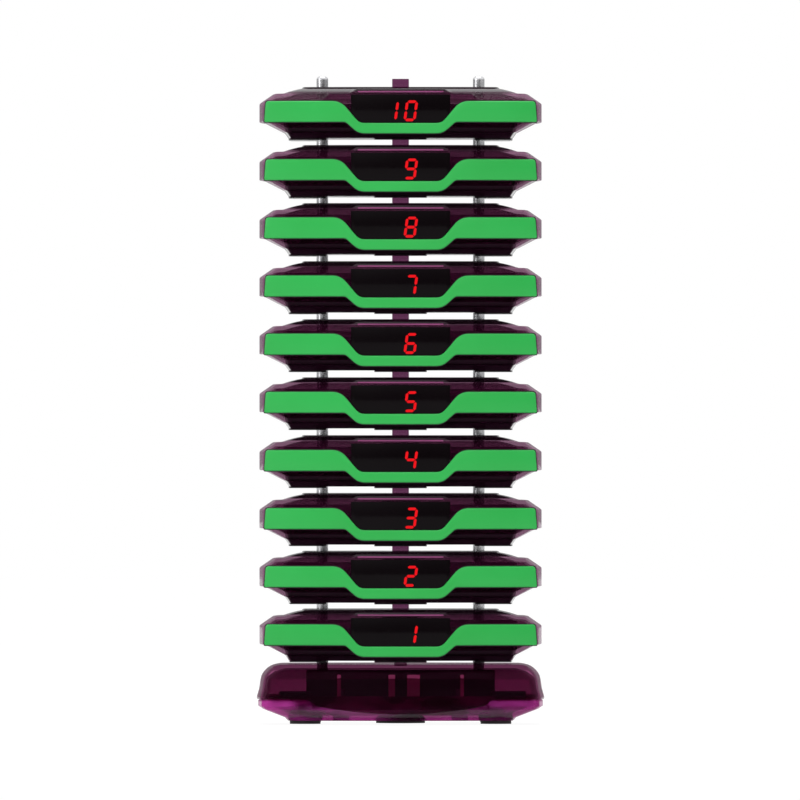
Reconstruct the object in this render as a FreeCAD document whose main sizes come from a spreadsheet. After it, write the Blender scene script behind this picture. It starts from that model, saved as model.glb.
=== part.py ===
import FreeCAD, Part
import math
import os
import re
import Sketcher

# Guest pager system: ten pagers stacked on a charging base.
# Millimetres, +Z up, front towards -Y. The origin is the centre of the footprint, on the counter.
# A pager is drawn once, with its own pads at height 0, and every copy in the stack is placed from it.

Vector = FreeCAD.Vector
doc = FreeCAD.newDocument("GuestPagerSystem")

SIZES = [
    # the stack
    ("pager_count", 10, "pagers on the base"),
    ("stack_pitch", 21.55, "rise from one pager to the next"),
    ("first_pager", 22.85, "height of the lowest pager's pads"),
    ("slip_gap", 0.3, "clearance of what lifts off: post in socket, tab in slot"),
    ("seat_gap", 0.1, "clearance of pieces that are assembled for good"),
    # plan of a pager: a square with bulging sides
    ("pager_width", 105, "across the rim"),
    ("pager_depth", 98, "front to back at the rim"),
    ("front_radius", 142, "bulge of the front and rear faces"),
    ("side_radius", 500, "bulge of the side faces"),
    ("corner_radius", 3, "upright corners"),
    # lower shell, from the pads up
    ("wall", 1.6, "shell thickness"),
    ("pad_height", 0.6, "how far the pads stand out below"),
    ("plinth_foot_inset", 10.85, "foot of the plinth, in from the rim"),
    ("plinth_top", 2.6, "height where the slope starts"),
    ("plinth_top_inset", 9.4, "top of the plinth, in from the rim"),
    ("slope_top", 6.5, "height where the slope ends"),
    ("lip_inset", 1.75, "lip of the lower shell, in from the rim"),
    ("lip_top", 9, "height of the lip"),
    ("lip_wall", 1.2, "thickness of the lip"),
    # upper shell
    ("rim_bottom", 6.6, "lower edge of the upper shell"),
    ("rim_top", 13.55, "height of the upright rim"),
    ("rim_wall", 2.2, "thickness of the upright rim"),
    ("chamfer_top", 17, "height of the chamfer above the rim"),
    ("chamfer_inset", 5.1, "top of the chamfer, in from the rim"),
    ("ledge_inset", 8.1, "inner edge of the flat ledge"),
    ("ledge_rise", 0.15, "rise of the ledge"),
    ("dome_mid_inset", 11.8, "middle of the dome, in from the rim"),
    ("dome_mid", 18.25, "height at the middle of the dome"),
    ("dome_inset", 15.6, "top of the dome, in from the rim"),
    ("dome_top", 19.05, "height of the dome"),
    ("plate_inset", 15.9, "edge of the raised top plate"),
    ("plate_top", 19.56, "height of the top plate"),
    # visor over the display, on the front of the upper shell
    ("visor_proud", 0.3, "visor in front of the rim"),
    ("visor_wall", 1.9, "thickness of the visor's front"),
    ("visor_half_width", 29.8, "half width at the rim"),
    ("visor_shoulder_width", 26.2, "half width at the shoulder"),
    ("visor_side_top", 14.2, "height where the visor's side leans in"),
    ("visor_shoulder", 17.1, "height of the shoulder"),
    ("visor_slope_width", 19, "half width where the slope to the ridge starts"),
    ("ridge_half_width", 16.3, "half width of the ridge"),
    ("ridge_top", 18.75, "height of the ridge"),
    ("visor_back", 36, "rear of the visor, behind the centre line's front"),
    ("visor_roof", 0.9, "roof over the display, at the shoulder"),
    # front band
    ("band_bottom", 6.42, "lower edge of the arms"),
    ("band_top", 14.2, "upper edge of the arms"),
    ("band_end_low_inset", 1.9, "lower corner of an arm, in from the rim"),
    ("band_end_high_inset", 2.6, "upper corner of an arm, in from the rim"),
    ("band_dip_bottom", 2.15, "lower edge of the middle strip"),
    ("band_dip_top", 6.05, "upper edge of the middle strip"),
    ("dip_low_inner", 15.6, "half width of the lower edge's dip, at its bottom"),
    ("dip_low_outer", 20.35, "half width of the lower edge's dip, at its top"),
    ("dip_high_inner", 15.25, "half width of the upper edge's dip, at its bottom"),
    ("dip_high_outer", 22.2, "half width of the upper edge's dip, at its top"),
    ("band_end_round", 1.1, "upper corner of each arm"),
    ("dip_shoulder_round", 6.5, "upper edge, where an arm starts to fall"),
    ("dip_foot_round", 3.8, "upper edge, where the strip turns flat"),
    ("dip_under_round", 6, "lower edge, where the strip turns flat"),
    ("dip_arm_round", 2, "lower edge, where an arm starts to fall"),
    ("band_proud", 0.75, "band in front of the rim"),
    ("band_recess", 0.6, "depth of the band's seat in the rim"),
    ("band_shadow_gap", 0.25, "gap round the band in its seat"),
    # charging posts and their sockets
    ("post_diameter", 4.3, "chrome post, where it stands out"),
    ("post_shank", 3.6, "chrome post, inside the pager"),
    ("post_offset", 29.15, "post to the centre plane"),
    ("post_back", 15, "post behind the centre line"),
    ("post_tip", 24.2, "height of the tip"),
    ("post_nose", 1.5, "length of the rounded nose"),
    ("post_flat", 1.8, "diameter of the flat on the tip"),
    ("post_head_diameter", 6.4, "contact face under the pager"),
    ("post_head", 1, "thickness of the contact face"),
    ("post_collar_diameter", 7, "collar under the roof"),
    ("post_collar", 1, "thickness of the collar"),
    ("post_boss_wall", 1.2, "wall of the boss round a post's head"),
    # locating tab and its slot
    ("tab_width", 6.2, "tab on top of each pager"),
    ("tab_thickness", 3, "tab, front to back"),
    ("tab_front", 37, "front of the tab, from the centre line"),
    ("tab_top", 22.5, "height of the tab"),
    # pads under a pager
    ("side_pad_inner", 27.6, "inner edge of a side pad"),
    ("side_pad_length", 56, "side pad, front to back"),
    ("middle_pad_width", 19.4, "middle pad"),
    ("middle_pad_length", 12, "middle pad, front to back"),
    # inside a pager
    ("tray_inset", 9.1, "inner tray, in from the rim"),
    ("tray_bottom", 5, "underside of the inner tray"),
    ("tray_floor", 1.2, "floor of the inner tray"),
    ("tray_top", 15.2, "top of the inner tray"),
    ("tray_wall", 1.4, "wall of the inner tray"),
    ("stud_offset", 20, "tray stud to the centre plane"),
    ("stud_front", 24, "tray stud in front of the centre line"),
    ("stud_diameter", 6, "tray stud"),
    ("board_width", 76, "circuit board"),
    ("board_depth", 60, "circuit board, front to back"),
    ("board_thickness", 1.2, "circuit board"),
    ("board_height", 12, "underside of the circuit board"),
    ("board_stud_x", 34, "board stud to the centre plane"),
    ("board_stud_y", 26, "board stud to the centre line"),
    ("board_stud_diameter", 5, "board stud"),
    ("battery_width", 48, "battery"),
    ("battery_depth", 34, "battery, front to back"),
    ("battery_height", 5.5, "battery"),
    ("battery_back", 8, "battery's middle behind the centre line"),
    ("buzzer_diameter", 14, "buzzer"),
    ("buzzer_height", 3.6, "buzzer"),
    ("buzzer_front", 14, "buzzer in front of the centre line"),
    ("motor_diameter", 10, "coin vibration motor"),
    ("motor_height", 2.8, "coin vibration motor"),
    ("motor_front", 21, "motor in front of the centre line"),
    ("lamp_width", 3.5, "indicator lamp"),
    ("lamp_height", 1.9, "indicator lamp"),
    ("lamp_x", 35, "lamps on the sides, to the centre plane"),
    ("lamp_spacing", 17, "from one lamp to the next"),
    ("display_half_width", 18.4, "display block"),
    ("display_bottom", 7, "underside of the display block"),
    ("display_top", 16.2, "top of the display block"),
    ("display_depth", 3.4, "display block, front to back"),
    # plan of the base, on the same centres as a pager's
    ("base_grow", 1, "base outside the pagers, all round"),
    # base tray
    ("base_wall", 2, "shell thickness"),
    ("base_bottom", 1.2, "underside of the tray"),
    ("base_foot_inset", 11.3, "foot of the tray, in from the cover's edge"),
    ("base_plinth_top", 2.3, "height where the slope starts"),
    ("base_plinth_inset", 10.3, "top of the plinth"),
    ("base_slope_top", 5.4, "height where the slope ends"),
    ("base_slope_inset", 2.2, "top of the slope"),
    ("base_edge_low", 6.6, "lower side of the tray's edge"),
    ("base_edge_high", 8.4, "upper side of the tray's edge"),
    ("base_edge_inset", 0.5, "tray's edge"),
    ("base_tray_top", 8.8, "top of the tray"),
    ("base_lip_inset", 2.9, "lip that goes up inside the cover"),
    ("base_lip_top", 10.4, "height of the lip"),
    ("base_lip_wall", 1.2, "thickness of the lip"),
    # base cover
    ("cover_bottom", 9.1, "lower edge of the cover"),
    ("cover_flare_top", 12.8, "height of the flare"),
    ("cover_flare_inset", 0.9, "top of the flare"),
    ("cover_side_top", 16.8, "height where the shoulder starts"),
    ("cover_side_inset", 1.5, "side, in from the edge"),
    ("cover_shoulder_inset", 8.4, "inner end of the shoulder"),
    ("cover_top", 22.1, "height of the cover"),
    ("apron_half_width", 32.5, "front apron of the cover"),
    ("apron_end", 7, "lower corner of the apron"),
    ("apron_middle", 3.7, "lowest point of the apron's edge"),
    ("apron_lap", 0.35, "overlap of apron and cover"),
    ("base_tab_width", 4.7, "tab on the base"),
    # feet and bosses of the tray
    ("foot_diameter", 12.6, "corner foot"),
    ("foot_x", 35.4, "corner foot to the centre plane"),
    ("foot_y", 27, "corner foot to the centre line"),
    ("middle_foot_diameter", 19.4, "middle foot"),
    ("foot_seat", 0.5, "depth of a foot's seat"),
    ("boss_lean", 1.2, "how much a corner foot boss narrows upwards"),
    ("middle_boss_lean", 3.6, "how much the middle foot boss narrows upwards"),
    ("boss_top", 4.6, "height of the foot bosses"),
    ("screw_x", 22, "case screw to the centre plane"),
    ("screw_y", 32.5, "case screw to the centre line"),
    ("screw_diameter", 3, "case screw"),
    ("screw_head_diameter", 5.6, "head of the case screw"),
    ("screw_head", 1.8, "head of the case screw"),
    ("screw_sink", 1.4, "underside of the screw's head"),
    ("screw_tip", 13, "top of the screw"),
    ("screw_boss_diameter", 7.6, "screw boss of tray and cover"),
    ("screw_boss_split", 4.6, "height where the two bosses meet"),
    # inside the base
    ("base_board_height", 5.2, "underside of the base's board"),
    ("base_board_thickness", 1.6, "base's board"),
    ("base_board_width", 76, "base's board"),
    ("base_board_depth", 50, "base's board, front to back"),
    ("base_board_tail", 24, "tail of the board that carries the inlet"),
    ("base_board_rear_inset", 9, "rear end of the tail, in from the pagers' rim"),
    ("base_stud_x", 33, "board stud to the centre plane"),
    ("base_stud_y", 10, "board stud to the centre line"),
    ("carrier_width", 70, "contact carrier"),
    ("carrier_depth", 47, "contact carrier, front to back"),
    ("carrier_wall", 1.5, "wall of the carrier"),
    ("carrier_top", 19.6, "top of the carrier"),
    ("inlet_width", 9, "power inlet"),
    ("inlet_height", 11, "power inlet"),
    ("inlet_length", 13.6, "power inlet, front to back"),
    ("inlet_recess", 3.4, "outer end of the inlet, in from the base's edge"),
    ("inlet_bore", 6.6, "bore of the inlet"),
    ("inlet_bore_depth", 9, "depth of the bore"),
    ("inlet_pin", 2, "centre pin of the inlet"),
    ("inlet_pin_length", 8.5, "centre pin of the inlet"),
]
SHOULDER_STEPS = 5
LAMPS_PER_SIDE = 3
OVERCUT = 1.0

sheet = doc.addObject("Spreadsheet::Sheet", "Sizes")
for row, (alias, number, note) in enumerate(SIZES, start=1):
    sheet.set("A%d" % row, alias)
    sheet.set("B%d" % row, str(number))
    sheet.set("C%d" % row, note)
    sheet.setAlias("B%d" % row, alias)
doc.recompute()


def size(formula):
    """The value of a formula of the sheet's aliases, in millimetres."""
    return float(sheet.evalExpression(str(formula)))


def bind(thing, **formulas):
    """Bind properties of an object to formulas of the sheet's aliases; x, y, z mean its place."""
    for name, formula in formulas.items():
        path = "Placement.Base." + name if name in ("x", "y", "z") else name
        thing.setExpression(path, re.sub(r"([A-Za-z_]\w*)", r"Sizes.\1", str(formula)))
    return thing


def add(kind, name, **formulas):
    """A new object of the document, bound to the sheet."""
    return bind(doc.addObject(kind, name), **formulas)


def box(name, length, width, height, x, y, z):
    """A box whose x and y are its middle and z its underside."""
    thing = add("Part::Box", name, Length=length, Width=width, Height=height)
    return bind(thing, x="(%s) - (%s) / 2" % (x, length), y="(%s) - (%s) / 2" % (y, width), z=z)


def cylinder(name, diameter, height, x, y, z):
    """An upright cylinder."""
    return add("Part::Cylinder", name, Radius="(%s) / 2" % diameter, Height=height, x=x, y=y, z=z)


def cut(name, base, tool):
    thing = doc.addObject("Part::Cut", name)
    thing.Base = base
    thing.Tool = tool
    return thing


def common(name, base, tool):
    thing = doc.addObject("Part::Common", name)
    thing.Base = base
    thing.Tool = tool
    return thing


def fuse(name, *things):
    thing = doc.addObject("Part::MultiFuse", name)
    thing.Shapes = list(things)
    return thing


def group(name, *things):
    """Separate solids that make one sub-part."""
    thing = doc.addObject("Part::Compound", name)
    thing.Links = list(things)
    return thing


def four(name, maker):
    """Four likes, one in each quarter of the plan."""
    return [maker("%s%d" % (name, index), right, back)
            for index, (right, back) in enumerate([(-1, -1), (1, -1), (1, 1), (-1, 1)])]


# ---------------------------------------------------------------- sketches

def draw_polygon(sketch, formulas):
    """Draw a closed polygon; every corner is two formulas and is dimensioned from the origin."""
    points = [(size(across), size(up)) for across, up in formulas]
    count = len(points)
    for index, (across, up) in enumerate(points):
        next_across, next_up = points[(index + 1) % count]
        line = Part.LineSegment(Vector(across, up, 0), Vector(next_across, next_up, 0))
        sketch.addGeometry(line, False)
    for index in range(count):
        following = (index + 1) % count
        sketch.addConstraint(Sketcher.Constraint("Coincident", index, 2, following, 1))
    for index, point in enumerate(points):
        for kind, value, formula in zip(("DistanceX", "DistanceY"), point, formulas[index]):
            number = sketch.addConstraint(Sketcher.Constraint(kind, -1, 1, index, 1, value))
            bind(sketch, **{"Constraints[%d]" % number: formula})
    return sketch


def body_with_sketch(name, role, formulas):
    """A PartDesign body and a polygon on one of its planes."""
    body = doc.addObject("PartDesign::Body", name)
    sketch = body.newObject("Sketcher::SketchObject", name + "_profile")
    plane = [item for item in body.Origin.OriginFeatures if item.Role == role][0]
    sketch.AttachmentSupport = [(plane, "")]
    sketch.MapMode = "FlatFace"
    return body, draw_polygon(sketch, formulas)


# ---------------------------------------------------------------- plan outlines and lofts

def outline(name, inset, height):
    """The plan outline, moved in by inset: four bulging sides and four rounded corners."""
    front = size("front_radius") - size(inset)
    side = size("side_radius") - size(inset)
    corner = size("corner_radius")
    front_centre = size("front_radius - pager_depth / 2")
    side_centre = size("side_radius - pager_width / 2")
    # the corner arc touches both sides from within, so its centre is corner short of each radius
    reach = math.hypot(side_centre, front_centre)
    along = ((side - corner) ** 2 - (front - corner) ** 2 + reach ** 2) / (2 * reach)
    off = math.sqrt((side - corner) ** 2 - along ** 2)
    unit = Vector(side_centre, -front_centre, 0) / reach
    centre = Vector(-side_centre, 0, 0) + unit * along + Vector(-unit.y, unit.x, 0) * off
    turn = math.pi
    to_side = math.atan2(centre.y, centre.x + side_centre)
    to_back = math.atan2(centre.y + front_centre, centre.x)
    arcs = [
        (-side_centre, 0, side, -to_side, to_side),
        (centre.x, centre.y, corner, to_side, to_back),
        (0, -front_centre, front, to_back, turn - to_back),
        (-centre.x, centre.y, corner, turn - to_back, turn - to_side),
        (side_centre, 0, side, turn - to_side, turn + to_side),
        (-centre.x, -centre.y, corner, turn + to_side, turn + to_back),
        (0, front_centre, front, turn + to_back, 2 * turn - to_back),
        (centre.x, -centre.y, corner, 2 * turn - to_back, 2 * turn - to_side),
    ]
    sketch = doc.addObject("Sketcher::SketchObject", name)
    for x, y, radius, start, end in arcs:
        circle = Part.Circle(Vector(x, y, 0), Vector(0, 0, 1), radius)
        sketch.addGeometry(Part.ArcOfCircle(circle, start, end), False)
    for index in range(8):
        sketch.addConstraint(Sketcher.Constraint("Tangent", index, 2, (index + 1) % 8, 1))
    for index in (0, 4):
        sketch.addConstraint(Sketcher.Constraint("PointOnObject", index, 3, -1))
    for index in (2, 6):
        sketch.addConstraint(Sketcher.Constraint("PointOnObject", index, 3, -2))
    radii = [
        (side, "side_radius - (%s)" % inset),
        (corner, "corner_radius"),
        (front, "front_radius - (%s)" % inset),
        (corner, "corner_radius"),
    ]
    bound = []
    for index, (radius, formula) in enumerate(radii * 2):
        bound.append((Sketcher.Constraint("Radius", index, radius), formula))
    side_formula = "side_radius - pager_width / 2"
    front_formula = "front_radius - pager_depth / 2"
    bound.append((Sketcher.Constraint("DistanceX", 0, 3, -1, 1, side_centre), side_formula))
    bound.append((Sketcher.Constraint("DistanceX", -1, 1, 4, 3, side_centre), side_formula))
    bound.append((Sketcher.Constraint("DistanceY", 2, 3, -1, 1, front_centre), front_formula))
    bound.append((Sketcher.Constraint("DistanceY", -1, 1, 6, 3, front_centre), front_formula))
    for constraint, formula in bound:
        bind(sketch, **{"Constraints[%d]" % sketch.addConstraint(constraint): formula})
    return bind(sketch, z=height)


def loft(name, levels):
    """A solid through plan outlines; each level is an inset and a height."""
    thing = doc.addObject("Part::Loft", name)
    thing.Sections = [outline("%s_level%d" % (name, index), inset, height)
                      for index, (inset, height) in enumerate(levels)]
    thing.Solid = True
    thing.Ruled = True
    return thing


def prism(name, inset, bottom, top):
    """An upright solid with the plan outline."""
    return loft(name, [(inset, bottom), (inset, top)])


# ---------------------------------------------------------------- shapes seen from the front

def front_shape(name, corners, rounds=None):
    """A solid drawn in the front view and carried far through the front half.

    corners are (half width, height) up the right side; the left side mirrors them.
    rounds gives the radius at a corner by its number.
    """
    mirrored = [("-(%s)" % x, z) for x, z in reversed(corners)]
    sketch = doc.addObject("Sketcher::SketchObject", name + "_profile")
    sketch.Placement.Rotation = FreeCAD.Rotation(Vector(1, 0, 0), 90)
    draw_polygon(sketch, corners + mirrored)
    solid = doc.addObject("Part::Extrusion", name + "_solid")
    solid.Base = sketch
    solid.DirMode = "Custom"
    solid.Dir = Vector(0, -1, 0)
    solid.Solid = True
    bind(solid, LengthFwd="pager_depth")
    if not rounds:
        return solid
    doc.recompute()
    edges = []
    for number, edge in enumerate(solid.Shape.Edges, start=1):
        first, last = edge.Vertexes[0].Point, edge.Vertexes[-1].Point
        if abs(first.y - last.y) < 1:
            continue
        for corner, radius in rounds.items():
            x, z = (size(formula) for formula in corners[corner])
            if math.hypot(abs(first.x) - x, first.z - z) < 0.001:
                edges.append((number, size(radius), size(radius)))
    rounded = doc.addObject("Part::Fillet", name)
    rounded.Base = solid
    rounded.Edges = edges
    return rounded


def front_disc(name, proud):
    """A tall disc whose edge stands proud of the front face."""
    centre = "front_radius - pager_depth / 2"
    diameter = "2 * (front_radius + (%s))" % proud
    return cylinder(name, diameter, "post_tip + 2", "0", centre, "-1")


def front_skin(name, shape, outer, inner):
    """The part of a front shape between two distances from the front face."""
    ring = cut(name + "_ring", front_disc(name + "_outer", outer), front_disc(name + "_inner", inner))
    return common(name, shape, ring)


# ---------------------------------------------------------------- upper shell of a pager

OUTER_LEVELS = [
    ("0", "rim_bottom"),
    ("0", "rim_top"),
    ("chamfer_inset", "chamfer_top"),
    ("ledge_inset", "chamfer_top + ledge_rise"),
    ("dome_mid_inset", "dome_mid"),
    ("dome_inset", "dome_top"),
]
BAND = [
    ("dip_low_inner", "band_dip_bottom"),
    ("dip_low_outer", "band_bottom"),
    ("pager_width / 2 - band_end_low_inset", "band_bottom"),
    ("pager_width / 2 - band_end_high_inset", "band_top"),
    ("dip_high_outer", "band_top"),
    ("dip_high_inner", "band_dip_top"),
]
BAND_ROUNDS = {
    0: "dip_under_round",
    1: "dip_arm_round",
    3: "band_end_round",
    4: "dip_shoulder_round",
    5: "dip_foot_round",
}
VISOR = [
    ("visor_half_width", "rim_bottom"),
    ("visor_half_width", "visor_side_top"),
    ("visor_shoulder_width", "visor_shoulder"),
    ("visor_slope_width", "visor_shoulder"),
    ("ridge_half_width", "ridge_top"),
]
APRON = [
    ("dip_low_inner", "band_dip_bottom"),
    ("dip_low_outer", "rim_bottom + seat_gap"),
]

band_shape = front_shape("band_outline", BAND, BAND_ROUNDS)
band_seat_shape = add("Part::Offset", "band_seat_outline", Value="band_shadow_gap")
band_seat_shape.Source = band_shape


def lower_form(name, clear):
    """The outside of the lower shell, grown by a clearance."""
    return loft(name, [
        ("plinth_foot_inset - (%s)" % clear, "pad_height"),
        ("plinth_top_inset - (%s)" % clear, "plinth_top"),
        ("lip_inset - (%s)" % clear, "slope_top"),
        ("lip_inset - (%s)" % clear, "lip_top"),
    ])


def inner_level(inset, height):
    """The level of a cavity one wall under an outer level."""
    return ("(%s) + wall * 3 / 8" % inset, "(%s) - wall" % height)


def make_upper_shell():
    outside = loft("upper_outside", OUTER_LEVELS)
    plate = prism("top_plate", "plate_inset", "dome_top - wall / 2", "plate_top")
    visor_face = front_disc("visor_face", "visor_proud")
    bonnet = common("visor_bonnet", front_shape("visor_outline", VISOR), visor_face)
    bonnet_length = "pager_depth / 2 + band_proud - visor_back + wall"
    bonnet_box = box("visor_length", "pager_width", bonnet_length, "plate_top", "0",
                     "-visor_back - (%s) / 2" % bonnet_length, "0")
    visor = common("visor", bonnet, bonnet_box)
    apron_face = front_disc("apron_face", "visor_proud")
    hanging = common("apron_front", front_shape("apron_outline", APRON), apron_face)
    apron = cut("apron", common("apron_length", hanging, bonnet_box), lower_form("apron_rear", "seat_gap"))
    tab = box("tab", "tab_width", "tab_thickness", "tab_top - ridge_top + wall / 2", "0",
              "tab_thickness / 2 - tab_front", "ridge_top - wall / 2")
    tab_root = box("tab_root", "tab_width", "tab_thickness", "ridge_top - chamfer_top + seat_gap", "0",
                   "tab_thickness / 2 - tab_front", "chamfer_top - seat_gap")
    rebate = prism("lip_rebate", "lip_inset - seat_gap", "rim_bottom", "lip_top")
    cavity = loft("upper_cavity", [
        ("rim_wall", "rim_bottom - %s" % OVERCUT),
        ("rim_wall", "rim_top - wall / 4"),
        inner_level("chamfer_inset", "chamfer_top"),
        inner_level("ledge_inset", "chamfer_top + ledge_rise"),
        inner_level("dome_mid_inset", "dome_mid"),
        inner_level("dome_inset", "dome_top"),
    ])
    window_width = "2 * (display_half_width + slip_gap)"
    window_height = "visor_shoulder - visor_roof - lip_top"
    window = box("window_box", window_width, "front_radius / 2", window_height, "0",
                 "-visor_back - front_radius / 4", "lip_top")
    window = common("window", window, front_disc("window_face", "visor_proud - visor_wall"))
    seat = front_skin("band_seat", band_seat_shape, "band_proud + wall", "-band_recess")
    holes = post_holes("post_hole", "plate_top", "lip_top")
    solid = fuse("upper_solid", outside, plate, visor, apron, tab, tab_root)
    return cut("upper_shell", solid, fuse("upper_openings", rebate, cavity, window, seat, *holes))


# ---------------------------------------------------------------- lower shell of a pager

def make_lower_shell():
    cavity = loft("lower_cavity", [
        ("plinth_foot_inset + wall / 4", "pad_height + wall"),
        ("plinth_top_inset + wall / 4", "plinth_top + wall"),
        ("lip_inset + lip_wall", "slope_top + wall * 2 / 3"),
        ("lip_inset + lip_wall", "lip_top + 1"),
    ])
    shell = cut("lower_walls", lower_form("lower_outside", "0"), cavity)
    foot = prism("pad_limit", "plinth_foot_inset", "0", "pad_height + wall")
    pad_width = "(pager_width / 2 - plinth_foot_inset - side_pad_inner) * 2"
    pad_top = "pad_height + wall / 2"
    pads = [
        box("pad_left", pad_width, "side_pad_length", pad_top, "plinth_foot_inset - pager_width / 2",
            "post_back / 3", "0"),
        box("pad_right", pad_width, "side_pad_length", pad_top, "pager_width / 2 - plinth_foot_inset",
            "post_back / 3", "0"),
        box("pad_middle", "middle_pad_width", "middle_pad_length", pad_top, "0",
            "tab_thickness / 2 - tab_front + middle_pad_length / 4", "0"),
    ]
    pads = common("pads", fuse("pad_boxes", *pads), foot)
    boss = "post_head_diameter + 2 * (seat_gap + post_boss_wall)"
    solids = []
    openings = [box("tab_slot", "tab_width + 2 * slip_gap", "tab_thickness + 2 * slip_gap",
                    "tab_top - stack_pitch + %s" % OVERCUT, "0",
                    "tab_thickness / 2 - tab_front", "-%s" % OVERCUT)]
    for side, sign in (("left", "-"), ("right", "")):
        post_x = sign + "post_offset"
        solids.append(cylinder("boss_" + side, boss, "tray_bottom - pad_height", post_x, "post_back",
                               "pad_height"))
        solids.append(cylinder("stud_" + side, "stud_diameter", "tray_bottom - pad_height - wall / 2",
                               sign + "stud_offset", "-stud_front", "pad_height + wall / 2"))
        openings.append(cylinder("socket_" + side, "post_diameter + 2 * slip_gap", "tray_bottom", post_x,
                                 "post_back", "-%s" % OVERCUT))
        openings.append(cylinder("head_seat_" + side, "post_head_diameter + 2 * seat_gap", "tray_bottom",
                                 post_x, "post_back", "post_tip - stack_pitch"))
    solid = fuse("lower_solid", shell, pads, *solids)
    return cut("lower_shell", solid, fuse("lower_openings", *openings))


# ---------------------------------------------------------------- turned posts

def post_body(name, levels):
    """A turned post: radius and height up its side, as a PartDesign revolution."""
    profile = [("0", levels[0][1])] + levels + [("0", levels[-1][1])]
    body, sketch = body_with_sketch(name, "XZ_Plane", profile)
    turned = body.newObject("PartDesign::Revolution", name + "_turned")
    turned.Profile = sketch
    turned.ReferenceAxis = (sketch, ["V_Axis"])
    turned.Angle = 360
    body.Tip = turned
    return body


def nose(tip):
    """The rounded nose of a post, from its shaft to the flat on its tip."""
    middle = "(post_diameter * 3 + post_flat) / 8"
    return [("post_diameter / 2", "(%s) - post_nose" % tip),
            (middle, "(%s) - post_nose * 2 / 5" % tip),
            ("post_flat / 2", tip)]


def pair_of_posts(name, levels):
    """Two like posts, one each side of the centre plane."""
    left = post_body(name + "_left", levels)
    bind(left, x="-post_offset", y="post_back")
    right = doc.addObject("Part::Mirroring", name + "_right")
    right.Source = left
    right.Normal = Vector(1, 0, 0)
    return group(name, left, right)


def make_charging_posts():
    under = "post_tip - stack_pitch"
    collar = "dome_top - wall - seat_gap"
    levels = [
        ("post_head_diameter / 2", under),
        ("post_head_diameter / 2", under + " + post_head"),
        ("post_shank / 2", under + " + post_head"),
        ("post_shank / 2", collar + " - post_collar"),
        ("post_collar_diameter / 2", collar + " - post_collar"),
        ("post_collar_diameter / 2", collar),
        ("post_shank / 2", collar),
        ("post_shank / 2", "plate_top"),
        ("post_diameter / 2", "plate_top"),
    ] + nose("post_tip")
    return pair_of_posts("charging_posts", levels)


# ---------------------------------------------------------------- inside a pager

def plate_body(name, corners, thickness, height):
    """A flat board: a polygon padded upwards. corners are formulas of x and y."""
    body, sketch = body_with_sketch(name, "XY_Plane", corners)
    pad = body.newObject("PartDesign::Pad", name + "_pad")
    pad.Profile = sketch
    bind(pad, Length=thickness)
    body.Tip = pad
    return bind(body, z=height)


def rectangle(width, depth):
    """The corners of a rectangle about the centre line."""
    return [("-(%s) / 2" % width, "-(%s) / 2" % depth), ("(%s) / 2" % width, "-(%s) / 2" % depth),
            ("(%s) / 2" % width, "(%s) / 2" % depth), ("-(%s) / 2" % width, "(%s) / 2" % depth)]


def post_holes(name, height, z):
    """Clearance holes for the two posts."""
    diameter = "post_diameter + 2 * slip_gap"
    return [cylinder(name + side, diameter, height, sign + "post_offset", "post_back", z)
            for side, sign in (("_left", "-"), ("_right", ""))]


def make_electronics():
    floor = "tray_bottom + tray_floor"
    board_top = "board_height + board_thickness"
    tray = cut("tray_walls", prism("tray_outside", "tray_inset", "tray_bottom", "tray_top"),
               prism("tray_inside", "tray_inset + tray_wall", floor, "tray_top + 1"))
    studs = four("board_stud", lambda name, right, back: cylinder(
        name, "board_stud_diameter", "board_height - tray_bottom", "%d * board_stud_x" % right,
        "%d * board_stud_y" % back, "tray_bottom"))
    tray = cut("inner_tray", fuse("tray_solid", tray, *studs),
               fuse("tray_openings", *post_holes("tray_hole", "board_height", "0")))
    corners = rectangle("board_width", "board_depth")
    blank = plate_body("board_blank", corners, "board_thickness", "board_height")
    holes = post_holes("board_hole", "chamfer_top", "0")
    board = cut("circuit_board", blank, fuse("board_openings", *holes))
    battery = box("battery", "battery_width", "battery_depth", "battery_height", "0", "battery_back", floor)
    buzzer = cylinder("buzzer", "buzzer_diameter", "buzzer_height", "0", "-buzzer_front", board_top)
    motor = cylinder("vibration_motor", "motor_diameter", "motor_height", "0", "-motor_front", floor)
    display_height = "display_top - display_bottom"
    display = box("display_block", "2 * display_half_width", "display_depth", display_height, "0",
                  "tray_inset - seat_gap - (pager_depth + display_depth) / 2", "display_bottom")
    lamps = [box("lamp_%s%d" % (side, index), "lamp_width", "lamp_width", "lamp_height", sign + "lamp_x",
                 "lamp_spacing * %d" % (index - 1), board_top)
             for side, sign in (("left", "-"), ("right", "")) for index in range(LAMPS_PER_SIDE)]
    return group("electronics", tray, board, battery, buzzer, motor, display, *lamps)


# ---------------------------------------------------------------- base

def base_loft(name, levels, grow="base_grow"):
    """A solid through the base's outlines, which are the pager's moved out."""
    return loft(name, [("(%s) - (%s)" % (inset, grow), height) for inset, height in levels])


def shoulder_levels(wall_in, wall_down):
    """A quarter ellipse from the cover's side to its top, moved in and down by a wall."""
    levels = []
    for step in range(SHOULDER_STEPS + 1):
        angle = math.pi / 2 * step / SHOULDER_STEPS
        inward = "(cover_shoulder_inset - cover_side_inset) * %.4f" % (1 - math.cos(angle))
        across = "cover_side_inset + " + inward
        up = "cover_side_top + (cover_top - cover_side_top) * %.4f" % math.sin(angle)
        levels.append(("%s + %s" % (across, wall_in), "%s - %s" % (up, wall_down)))
    return levels


def base_openings(name, top, bottom="0"):
    """Clearance holes for the base's posts."""
    diameter = "post_diameter + 2 * seat_gap"
    return [cylinder(name + side, diameter, top, sign + "post_offset", "post_back", bottom)
            for side, sign in (("_left", "-"), ("_right", ""))]


INLET_REAR = "pager_depth / 2 + base_grow - inlet_recess"


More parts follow.
